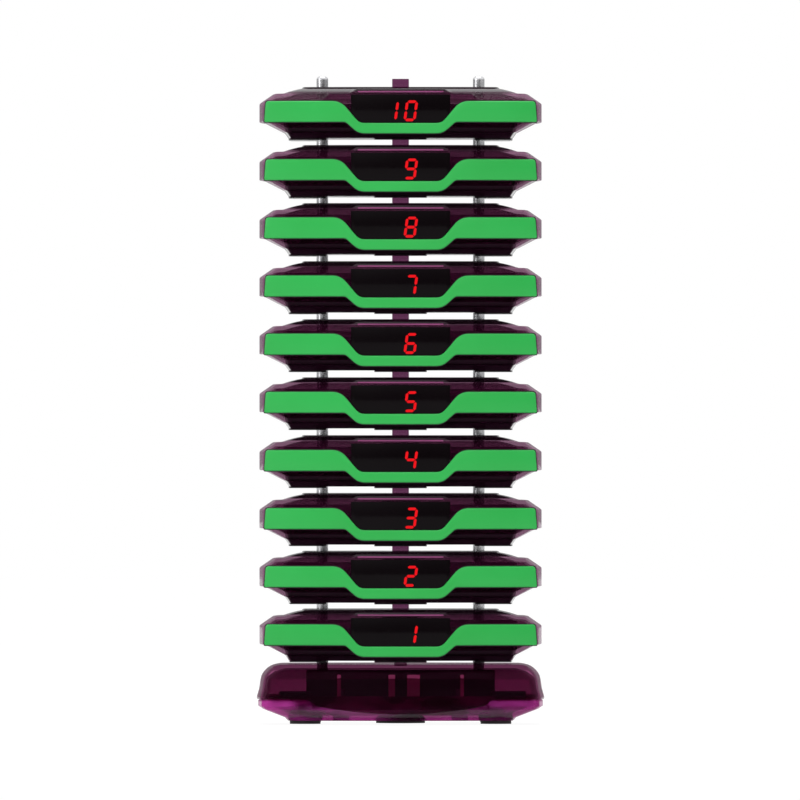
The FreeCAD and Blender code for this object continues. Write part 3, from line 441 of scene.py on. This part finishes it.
# light purple: the base tab's own plastic, and on the visor a painted highlight along its upper edge
LIGHT_PURPLE_AND_HIGHLIGHT = smoked_plastic("bright_visor_edge", srgb(200, 150, 184), srgb(158, 74, 128), 0.8)
SMOKED_BOSS = smoked_plastic("purple_foot_boss", srgb(140, 50, 116), srgb(104, 20, 82), 0.9)
SMOKED_RIB = smoked_plastic("purple_inner_rib", srgb(220, 180, 200), srgb(255, 176, 206), 0.95)
GREEN = opaque("green_band", srgb(36, 182, 78), srgb(31, 174, 70), 0.3, 1500)
CHROME = opaque("bright_chrome", srgb(222, 222, 224), srgb(206, 206, 210), 0.2, 1200, metallic=1.0)
DULL_POST = opaque("dark_nickel", srgb(120, 112, 118), srgb(104, 98, 104), 0.24, 1200, metallic=1.0)
BLACK = opaque("black_inner_plastic", srgb(9, 7, 9), srgb(13, 10, 12), 0.3, 1400)
# painted shadow: a black sheet for the shade in the gap round the band
PAINTED_SHADOW_BLACK = opaque("painted_shadow_black", srgb(8, 6, 8), srgb(12, 9, 12), 0.5, 1800)
BOARD = opaque("green_board", srgb(18, 70, 42), srgb(14, 58, 34), 0.42, 800)
RUBBER = opaque("dark_rubber", srgb(30, 22, 27), srgb(38, 28, 34), 0.7, 2200, strength=0.5)
STEEL = opaque("screw_steel", srgb(150, 150, 154), srgb(132, 132, 138), 0.3, 1500, metallic=1.0)
WINDOW = opaque("black_display_window", srgb(9, 5, 7), srgb(13, 8, 11), 0.06, 900, specular=0.07,
                strength=0.05)
RED_LIGHT = lit_segment("red_light", srgb(90, 6, 8), srgb(232, 16, 24), 0.95)


# ------------------------------------------------------------------ pieces of a pager

# the upper shell's lower edge, and how far the apron below it keeps from the band's line and from the
# lower shell, whose outside is given by its insets at three heights
SHELL_EDGE = 6.6
DIP_HALF, DIP_GAP, SLOPE_GAP = 20.2, 0.15, 0.12
SLOPE = ([0.6, 2.6, 6.5], [10.85, 9.4, 1.75])
DIP_LINE = rounded_line(BAND_LOW[:-1], BAND_LOW_RADII[:-1])


def apron_low(x):
    """Lower edge of the upper shell seen from the front: it hangs down behind the band's dip."""
    dip = np.minimum(height_of(DIP_LINE, x) + DIP_GAP, SHELL_EDGE)
    return np.where(np.abs(x) < DIP_HALF, dip, SHELL_EDGE)


# Rows of the upper shell: kind, inset from the rim, height, and scale towards the middle.
UPPER_ROWS = [
    ("inside", 16.2, 17.46, 0.35), ("inside", 16.2, 17.46, 0.8), ("inside", 15.9, 17.45, 1),
    ("inside", 12.4, 16.65, 1), ("inside", 8.7, 15.55, 1), ("inside", 5.7, 15.4, 1),
    ("inside", 2.2, 13.1, 1), ("inside", 2.2, 9.05, 1), ("inside", 1.65, 9.0, 1), ("inside", 1.62, 6.7, 1),
    ("under", 1.65, 6.6, 1), ("under", 0.3, 6.6, 1), ("under", 0.08, 6.68, 1), ("under", 0, 6.9, 1),
    ("rim", 0, 9.5, 1), ("rim", 0, 12.9, 1),
    ("brow", 0.02, 13.3, 1), ("brow", 0.12, 13.5, 1), ("brow", 0.4, 13.78, 1),
    ("top", 4.7, 16.76, 1), ("top", 5.05, 16.96, 1), ("top", 5.5, 17.02, 1), ("top", 8.0, 17.12, 1),
    ("top", 8.5, 17.2, 1), ("top", 9.8, 17.6, 1), ("top", 10.9, 17.98, 1), ("top", 12.3, 18.36, 1),
    ("top", 12.95, 18.52, 1),
    ("behind", 13.05, 18.54, 1), ("behind", 13.8, 18.72, 1), ("behind", 15.3, 19.0, 1),
    ("behind", 15.75, 19.06, 1), ("behind", 15.9, 19.16, 1), ("behind", 15.93, 19.42, 1),
    ("behind", 16.0, 19.53, 1), ("behind", 16.2, 19.56, 1), ("behind", 16.2, 19.56, 0.8),
    ("behind", 16.2, 19.56, 0.35),
]
# The visor's upper edge on the three brow rows: inset, and drop below its roof line.
VISOR_BROW = [(-VISOR_PROUD, 0.62), (0.12 - VISOR_PROUD, 0.22), (0.62 - VISOR_PROUD, 0.0)]


def upper_shell_skin():
    """The upper shell: the outline at an inset and a height, row by row, from inside the roof round the
    rim to the top. On the front the rows climb to the visor's roof line, and hang down for the apron."""
    kinds = np.array([row[0] for row in UPPER_ROWS])
    inset, height, scale = (spread([row[column] for row in UPPER_ROWS]) for column in (1, 2, 3))
    x = FIXED
    visor = ON_FRONT & (x <= VISOR_EDGE)
    roof = np.interp(x, *VISOR_ROOF)
    low = apron_low(x)
    under = kinds == "under"
    height[under] = np.where(ON_FRONT, height[under] - SHELL_EDGE + low, height[under])
    first_under = np.argmax(under)
    hanging = ON_FRONT & (low < SHELL_EDGE)
    inset[first_under] = np.where(hanging, np.interp(low, *SLOPE) - SLOPE_GAP, inset[first_under])
    for kind in ("under", "rim"):
        rows = np.flatnonzero(kinds == kind)
        rows = rows[1:] if kind == "under" else rows
        inset[rows] = np.where(visor, inset[rows] - VISOR_PROUD, inset[rows])
    for row, (brow_inset, drop) in zip(np.flatnonzero(kinds == "brow"), VISOR_BROW):
        inset[row] = np.where(visor, brow_inset, inset[row])
        height[row] = np.where(visor, roof - drop, height[row])
    top = kinds == "top"
    height[top] = np.where(visor, np.maximum(height[top], roof), height[top])
    return closed_skin(shell_rings(inset, height, scale))


# The band's lines are sampled between these half widths, with so many points each. Past BAND_TIP a grown
# band is wider too, and its last points thin out by these shares of its roll.
BAND_LOW_CUTS, BAND_HIGH_CUTS = (0, 12.5, 22.5, 48.6), (0, 12.0, 27.0, 48.2)
BAND_COUNTS = (8, 16, 10, 8)
BAND_TIP = 48
TIP_THINNING = [0.6, 0.25, 0.08, 0.0]
ROLL_STEPS = 5


def band_skin(grow, face, back, roll):
    """The front band: a closed profile from its upper to its lower line and back behind, carried
    across the front. Its edges are rolled by a quarter circle, and its ends thin out the same way."""
    low = sample(rounded_line(BAND_LOW, BAND_LOW_RADII), BAND_LOW_CUTS, BAND_COUNTS)
    high = sample(rounded_line(BAND_HIGH, BAND_HIGH_RADII), BAND_HIGH_CUTS, BAND_COUNTS)
    low[:, 1] -= grow
    high[:, 1] += grow
    low[:, 0] += grow * (low[:, 0] > BAND_TIP)
    high[:, 0] += grow * (high[:, 0] > BAND_TIP)
    low = np.vstack([low[:0:-1] * (-1, 1), low])
    high = np.vstack([high[:0:-1] * (-1, 1), high])
    span = np.linalg.norm(high - low, axis=1)
    turn = np.linspace(0, math.pi / 2, ROLL_STEPS)
    share = np.concatenate([roll * (1 - np.cos(turn)), roll * (1 - np.cos(turn[::-1]))])
    from_high = np.repeat([True, False], ROLL_STEPS)
    proud = np.concatenate([face - roll * (1 - np.sin(turn)), face - roll * (1 - np.sin(turn[::-1]))])
    across = share[None, :] / span[:, None]
    across = np.where(from_high, 1 - across, across)
    across = np.hstack([across, np.zeros((len(low), 1)), np.ones((len(low), 1))])
    end = np.minimum(np.arange(len(low)), np.arange(len(low))[::-1])
    thinning = np.interp(end, np.arange(len(TIP_THINNING)), TIP_THINNING) * roll
    proud = proud[None, :] - thinning[:, None]
    proud = np.hstack([proud, np.full((len(low), 2), back)])
    point = low[:, None] + (high - low)[:, None] * across[..., None]
    if grow:
        proud = np.where(np.abs(point[..., 0]) < VISOR_EDGE, proud + VISOR_PROUD, proud)
    return closed_skin(on_front(point[..., 0], point[..., 1], proud))


# a digit's bars in its cell: x and height of each one's start and end, and the bars lit for each digit
SEGMENT_LINES = {
    "a": (0.6, 7.35, 4.1, 7.35), "b": (4.1, 7.35, 4.1, 3.98), "c": (4.1, 3.98, 4.1, 0.6),
    "d": (0.6, 0.6, 4.1, 0.6), "e": (0.6, 3.98, 0.6, 0.6), "f": (0.6, 7.35, 0.6, 3.98),
    "g": (0.6, 3.98, 4.1, 3.98),
}
DIGIT_SEGMENTS = {
    "0": "abcdef", "1": "bc", "2": "abged", "3": "abgcd", "4": "fgbc", "5": "afgcd", "6": "afgedc",
    "7": "abc", "8": "abcdefg", "9": "abcdfg",
}
DIGIT_SLANT = math.tan(math.radians(8))
DIGIT_LEFT, DIGIT_FOOT, DIGIT_STEP = 0.9, 6.55, 7.0
DIGIT_PROUD = VISOR_PROUD + 0.1

# a bar of a digit: how far its ends stay from the corners of the digit's lines before their points, and
# the half widths of its three layers by how far they stand out
BAR_TRIM = 0.64
BAR_LAYERS = ((-0.25, 0.5), (0.0, 0.5), (0.06, 0.43))


def digit_skin(number):
    """Lit segments: pointed bars round each segment's line, leaning to the right, on the curved front."""
    skins = []
    for place, digit in enumerate(reversed(str(number))):
        for segment in DIGIT_SEGMENTS[digit]:
            start_x, start_z, end_x, end_z = SEGMENT_LINES[segment]
            start, end = np.array([start_x, start_z]), np.array([end_x, end_z])
            run = (end - start) / np.linalg.norm(end - start)
            side = np.array([-run[1], run[0]])
            rings = []
            for layer, half in BAR_LAYERS:
                first, last = start + run * (BAR_TRIM - half), end - run * (BAR_TRIM - half)
                outline = np.array([first, first + (run - side) * half, last - (run + side) * half, last,
                                    last - (run - side) * half, first + (run + side) * half])
                x = outline[:, 0] + outline[:, 1] * DIGIT_SLANT + DIGIT_LEFT - DIGIT_STEP * place
                proud = np.full(len(x), DIGIT_PROUD + layer)
                rings.append(on_front(x, outline[:, 1] + DIGIT_FOOT, proud))
            skins.append(closed_skin(np.array(rings)))
    return join_skins(skins)


HEAD_RADIUS, SHANK_RADIUS, NOSE = 3.2, 2.0, 1.5


def post_profile(foot, shoulder, tip):
    """Half section of a chrome post: contact face, shank, shoulder at the roof, pin with a round nose,
    which narrows by the cosine to the power 0.7 as it rises by the sine."""
    nose = [(POST_RADIUS * math.cos(angle) ** 0.7, tip - NOSE + NOSE * math.sin(angle))
            for angle in np.linspace(0.1, 1.4, 9)]
    return [(2.9, foot), (HEAD_RADIUS, foot + 0.2), (HEAD_RADIUS, foot + 0.9), (3.1, foot + 1.0),
            (SHANK_RADIUS, foot + 1.05), (SHANK_RADIUS, shoulder), (POST_RADIUS, shoulder + 0.05),
            (POST_RADIUS, tip - 1.6)] + nose


def add_piece(body, name, skin, material, node=None):
    """A piece that rides on a body. It takes the place of the body's node of that name, or where no node
    is named it is shown beside the body's nodes."""
    piece = make_mesh("%s_%s" % (body, name), skin, material)
    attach(piece, body)
    if node:
        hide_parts("%s_%s" % (body, node))


# a plate's layers by how far they stand out and are moved in, and its columns from side to side
PLATE_LAYERS = ((-0.5, 0.0), (0.02, 0.0), (0.05, 0.08))
PLATE_COLUMNS = 25


def front_plate(half, low, high):
    """A thin plate let into the visor's front, half that wide each way and from low to high, its edges
    rolled by a small chamfer."""
    rings = []
    across = np.linspace(-1, 1, PLATE_COLUMNS)
    for proud, inset in PLATE_LAYERS:
        x = np.concatenate([across, across[::-1]]) * (half - inset)
        height = np.repeat([low + inset, high - inset], PLATE_COLUMNS)
        rings.append(on_front(x, height, np.full(len(x), VISOR_PROUD + proud)))
    columns = np.array(rings).reshape(len(PLATE_LAYERS), 2, PLATE_COLUMNS, 3)
    profile = np.concatenate([columns[:, 0], columns[::-1, 1, ::-1]])
    return closed_skin(profile.transpose(1, 0, 2)[:, ::-1])


WINDOW_SKIN = front_plate(18.4, 5.6, 16.6)
# a bright strip on the visor's front just under its roof: painted highlight of the edge over its purple
# plastic
BROW_HIGHLIGHT_SKIN = front_plate(15.9, 17.4, 17.9)
UPPER_SKIN = upper_shell_skin()

# rows of the inner tray's foot: inset, height and scale
TRAY_FOOT_ROWS = [(12.6, 2.3, 0.5), (12.6, 2.3, 1), (11.6, 2.36, 1), (9.85, 2.78, 1), (9.3, 5.0, 1),
                  (9.5, 5.05, 1), (9.5, 5.05, 0.5)]
TRAY_FOOT_SKIN = closed_skin(shell_rings(*(spread([row[column] for row in TRAY_FOOT_ROWS])
                                           for column in (0, 1, 2))))
TAB_SKIN = block((-3.1, TAB_FRONT, 18.6), (3.1, TAB_BACK, 22.5), corner=0.3, edge=0.2)
BAND_SKIN = band_skin(0.0, BAND_PROUD, -0.4, 0.6)
# a black sheet a little wider than the band, just behind its edge: painted shadow of the gap round it
BAND_SHADOW_SKIN = band_skin(0.28, 0.04, -0.5, 0.03)
POST_SKIN = turned(post_profile(2.66, 19.56, 24.2))
POSTS_SKIN = join_skins([moved(POST_SKIN, -POST_X, POST_Y), moved(POST_SKIN, POST_X, POST_Y)])

for pager in range(1, PAGERS + 1):
    body = "pager_%02d" % pager
    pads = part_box(body + "_lower_shell")[0].z / MM
    for name, skin, material, slot, node in (
            ("top_cover", UPPER_SKIN, SMOKED, "purple_shell", "upper_shell"),
            ("locating_tab", TAB_SKIN, SMOKED_THICK, "purple_shell", "upper_shell"),
            ("green_front_band", BAND_SKIN, GREEN, "green_band", "front_band"),
            # painted shadow of the gap round the band
            ("band_shadow_seat", BAND_SHADOW_SKIN, PAINTED_SHADOW_BLACK, "black_inside", "front_band"),
            ("contact_posts", POSTS_SKIN, CHROME, "chrome_post", "charging_posts"),
            ("inner_tray_foot", TRAY_FOOT_SKIN, BLACK, "black_inside", None),
            ("display_window", WINDOW_SKIN, WINDOW, "black_inside", None),
            # painted highlight along the visor's upper edge
            ("visor_edge", BROW_HIGHLIGHT_SKIN, LIGHT_PURPLE_AND_HIGHLIGHT, "purple_shell", None),
            ("lit_number", digit_skin(pager), RED_LIGHT, "black_inside", None)):
        add_piece(body, name, moved(skin, z=pads), material, node)


# ------------------------------------------------------------------ base

# Rows of the base cover: kind, inset from the base's rim, height, and scale towards the middle.
BASE_ROWS = [
    ("inside", 10.5, 20.1, 0.4), ("inside", 10.5, 20.1, 0.8), ("inside", 9.6, 20.05, 1),
    ("inside", 6.6, 19.2, 1), ("inside", 4.4, 17.6, 1), ("inside", 3.5, 16.6, 1), ("inside", 2.9, 12.8, 1),
    ("inside", 2.0, 9.4, 1), ("under", 2.0, 9.1, 1), ("under", 0.25, 9.1, 1), ("under", 0.05, 9.2, 1),
    ("under", 0.0, 9.45, 1), ("side", 0.1, 10.2, 1), ("side", 0.35, 11.0, 1), ("side", 0.6, 11.9, 1),
    ("side", 0.85, 12.8, 1), ("side", 1.0, 13.8, 1), ("side", 1.15, 14.8, 1), ("side", 1.3, 15.8, 1),
    ("side", 1.5, 16.8, 1), ("side", 1.75, 17.7, 1), ("side", 2.15, 18.5, 1), ("side", 2.7, 19.3, 1),
    ("side", 3.35, 20.0, 1), ("side", 4.1, 20.68, 1), ("side", 5.0, 21.28, 1), ("side", 6.0, 21.7, 1),
    ("side", 7.1, 21.98, 1), ("side", 8.4, 22.1, 1), ("side", 10.5, 22.1, 0.95), ("side", 10.5, 22.1, 0.4),
]
# The cover's lower edge, and the apron that hangs below it: half width, and heights at its end and middle.
COVER_EDGE = 9.1
APRON_HALF, APRON_END, APRON_MIDDLE = 32.5, 7.0, 3.7
APRON_RADIUS = (APRON_HALF ** 2 + (APRON_END - APRON_MIDDLE) ** 2) / (2 * (APRON_END - APRON_MIDDLE))


def base_cover_skin():
    """The base cover: rows of the plan outline from inside the roof, round the lower edge and over the
    soft shoulder. On the front the lower edge hangs down in one flat arc."""
    kinds = np.array([row[0] for row in BASE_ROWS])
    inset, height, scale = (spread([row[column] for row in BASE_ROWS]) for column in (1, 2, 3))
    x, _ = plan(inset - BASE_GROW)
    arc = APRON_MIDDLE + APRON_RADIUS - np.sqrt(APRON_RADIUS ** 2 - np.minimum(x, APRON_HALF) ** 2)
    hanging = ON_FRONT & (np.abs(x) <= APRON_HALF)
    under = (kinds == "under")[:, None] & hanging
    height = np.where(under, height - COVER_EDGE + arc, height)
    return closed_skin(shell_rings(inset, height, scale, BASE_GROW))


BASE_TAB_SKIN = block((-2.35, TAB_FRONT, 21.6), (2.35, TAB_BACK, 23.8), corner=0.3, edge=0.2)
BASE_POST = turned([(1.9, 6.85), (2.0, 6.9), (2.0, 22.1), (POST_RADIUS, 22.15), (POST_RADIUS, 23.9),
                    (2.05, 24.4), (1.8, 24.9), (1.3, 25.3), (0.9, 25.48)])
BASE_POSTS_SKIN = join_skins([moved(BASE_POST, -POST_X, POST_Y), moved(BASE_POST, POST_X, POST_Y)])

# Bosses over the feet, ribs behind the cover's front and dark sills in its ends, all seen through the
# smoked plastic. Ribs and sills are boxes, given by their low and high corners.
FOOT_X, FOOT_Y = 35.4, 27.0
CORNER_BOSS = turned([(6.0, 1.22), (6.38, 1.3), (6.36, 2.4), (6.1, 3.4), (5.4, 4.2), (4.2, 4.62),
                      (3.0, 4.68)])
CORNER_BOSSES_SKIN = join_skins([moved(CORNER_BOSS, side * FOOT_X, back * FOOT_Y)
                                 for side in (-1, 1) for back in (-1, 1)])
MIDDLE_BOSS_SKIN = turned([(9.4, 1.22), (9.76, 1.3), (8.6, 2.4), (7.2, 3.5), (6.2, 4.5), (5.6, 4.68)])
RIBS = [((-23.5, -44.2, 9.8), (-22.1, -36.0, 18.4)), ((22.1, -44.2, 9.8), (23.5, -36.0, 18.4)),
        ((-4.5, -46.2, 9.8), (-2.0, -38.0, 18.4)), ((2.4, -46.0, 9.8), (7.2, -38.0, 18.4))]
RIBS_SKIN = join_skins([block(low, high, corner=0.3) for low, high in RIBS])
SILLS = [((-45.0, -34.0, 9.2), (-33.5, -30.0, 12.2)), ((33.5, -34.0, 9.2), (46.5, -30.0, 12.2))]
SILLS_SKIN = join_skins([block(low, high) for low, high in SILLS])

for name, skin, material, slot, node in (
        ("smoked_cover", base_cover_skin(), SMOKED_DARK, "base_cover_shell", "cover"),
        ("locating_tab", BASE_TAB_SKIN, LIGHT_PURPLE_AND_HIGHLIGHT, "base_cover_shell", "cover"),
        ("contact_posts", BASE_POSTS_SKIN, DULL_POST, "dark_post", "charging_posts"),
        ("corner_foot_bosses", CORNER_BOSSES_SKIN, SMOKED_BOSS, "base_tray_shell", None),
        ("middle_foot_boss", MIDDLE_BOSS_SKIN, SMOKED_BOSS, "base_tray_shell", None),
        ("inner_ribs", RIBS_SKIN, SMOKED_RIB, "base_cover_shell", "cover"),
        ("inner_sills", SILLS_SKIN, BLACK, "black_inside", None)):
    add_piece("base", name, skin, material, node)


# ------------------------------------------------------------------ finishes of the pieces kept as built

KEPT_FINISHES = {
    "lower_shell": SMOKED_LOWER, "electronics": BLACK, "base_tray": SMOKED_CLEAR, "base_feet": RUBBER,
    "base_screws": STEEL, "base_circuit_board": BOARD, "base_contact_carrier": BLACK,
    "base_power_inlet": BLACK,
}
for name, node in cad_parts.items():
    for ending, material in KEPT_FINISHES.items():
        if name.endswith(ending):
            node.data.materials.clear()
            node.data.materials.append(material)


# ------------------------------------------------------------------ studio

def white_for_camera(name, strength, colour, seen):
    """A matt surface that camera, glossy and see-through rays find white by the share seen, and that still
    takes a shadow by the rest."""
    finish = Finish(name)
    path = finish.node("ShaderNodeLightPath")
    matt = finish.node("ShaderNodeBsdfDiffuse", Color=colour).outputs[0]
    bright = finish.node("ShaderNodeEmission", Color=(1, 1, 1, 1), Strength=strength).outputs[0]
    seen_by = path.outputs["Is Camera Ray"]
    for ray in ("Is Glossy Ray", "Is Transmission Ray"):
        seen_by = finish.math("MAXIMUM", seen_by, path.outputs[ray])
    mix = finish.node("ShaderNodeMixShader")
    for socket, value in zip(mix.inputs, (finish.math("MULTIPLY", seen_by, seen), matt, bright)):
        finish.put(socket, value)
    return finish.done(mix.outputs[0])


def stage_sheet(name, corners, material):
    """A flat sheet of the studio through four corners, in metres."""
    mesh = bpy.data.meshes.new(name)
    mesh.from_pydata(corners, [], [(0, 1, 2, 3)])
    mesh.materials.append(material)
    sheet = bpy.data.objects.new(name, mesh)
    bpy.context.scene.collection.objects.link(sheet)


FLOOR = white_for_camera("floor_white", 1.1, (0.8, 0.8, 0.8, 1), 0.86)
FLOOR_HALF, FLOOR_FRONT, FLOOR_BACK, FLOOR_LEVEL = 6, -14, 8, -0.0004
stage_sheet("floor", [(-FLOOR_HALF, FLOOR_FRONT, FLOOR_LEVEL), (FLOOR_HALF, FLOOR_FRONT, FLOOR_LEVEL),
                      (FLOOR_HALF, FLOOR_BACK, FLOOR_LEVEL), (-FLOOR_HALF, FLOOR_BACK, FLOOR_LEVEL)], FLOOR)

world = bpy.data.worlds.new("studio_world")
bpy.context.scene.world = world
world.use_nodes = True
tree = world.node_tree
tree.nodes.clear()


def world_node(kind, *values, **settings):
    """The outputs of a new node of the world, whose first inputs are given in order, None for as it is."""
    made = tree.nodes.new(kind)
    for key, value in settings.items():
        setattr(made, key, value)
    for socket, value in zip(made.inputs, values):
        if isinstance(value, bpy.types.NodeSocket):
            tree.links.new(value, socket)
        elif value is not None:
            socket.default_value = value
    return made.outputs


# The room is white. Mirrored surfaces find it dimmer before the object, where a studio keeps its camera, and
# low down: where the dim begins and is full, and the levels there. Matt surfaces find it at DIFFUSE_LEVEL.
DIM_HEADING = (0.33, -0.944, 0.0)
DIM_START, DIM_FULL, DIM_LEVEL = 0.8, 0.98, 0.35
LOW_FULL, LOW_START, LOW_LEVEL = 0.02, 0.45, 0.34
DIFFUSE_LEVEL = 0.5
rays = world_node("ShaderNodeLightPath")
direction = world_node("ShaderNodeTexCoord")["Generated"]
towards = world_node("ShaderNodeVectorMath", direction, DIM_HEADING, operation="DOT_PRODUCT")["Value"]
before = world_node("ShaderNodeMapRange", towards, DIM_START, DIM_FULL, 1.0, DIM_LEVEL,
                    interpolation_type="SMOOTHSTEP")[0]
height = world_node("ShaderNodeSeparateXYZ", direction)["Z"]
rising = world_node("ShaderNodeMapRange", height, LOW_FULL, LOW_START, LOW_LEVEL, 1.0,
                    interpolation_type="SMOOTHSTEP")[0]
mirrored = world_node("ShaderNodeMath", before, rising, operation="MULTIPLY")[0]
lighting = world_node("ShaderNodeMix", rays["Is Glossy Ray"], None, DIFFUSE_LEVEL, mirrored)[0]
seen = world_node("ShaderNodeMath", rays["Is Camera Ray"], rays["Is Transmission Ray"],
                  operation="MAXIMUM")[0]
level = world_node("ShaderNodeMix", seen, None, lighting, 1.0)[0]
sky = world_node("ShaderNodeBackground", (1, 1, 1, 1), level)[0]
tree.links.new(sky, tree.nodes.new("ShaderNodeOutputWorld").inputs["Surface"])


def soft_lamp(name, place, size, power, mirrored=True):
    """An area lamp turned to the middle of the object, which mirrored surfaces may show or not."""
    lamp = bpy.data.lights.new(name, "AREA")
    lamp.shape = "RECTANGLE"
    lamp.size, lamp.size_y = size
    lamp.energy = power
    holder = bpy.data.objects.new(name, lamp)
    holder.location = place
    holder.rotation_euler = (OBJECT_MIDDLE - Vector(place)).to_track_quat("-Z", "Y").to_euler()
    holder.visible_glossy = mirrored
    bpy.context.scene.collection.objects.link(holder)


OBJECT_MIDDLE = Vector((0, 0, 0.12))
soft_lamp("front_softbox", (0.25, -1.3, 0.75), (0.9, 0.9), 7.0, mirrored=False)
soft_lamp("left_softbox", (-1.1, -0.6, 0.5), (0.5, 0.9), 3.0)
soft_lamp("top_softbox", (0.0, 0.1, 1.3), (0.9, 0.9), 7.0)

camera = bpy.data.cameras.new("camera")
camera.lens = 1200
camera.sensor_width = 36
camera.clip_end = 40
viewpoint = bpy.data.objects.new("camera", camera)
viewpoint.location = (-0.0002, -9.926, 0.1202)
viewpoint.rotation_euler = (math.radians(90), 0, 0)
bpy.context.scene.collection.objects.link(viewpoint)
bpy.context.scene.camera = viewpoint
bpy.context.scene.view_settings.view_transform = "Standard"
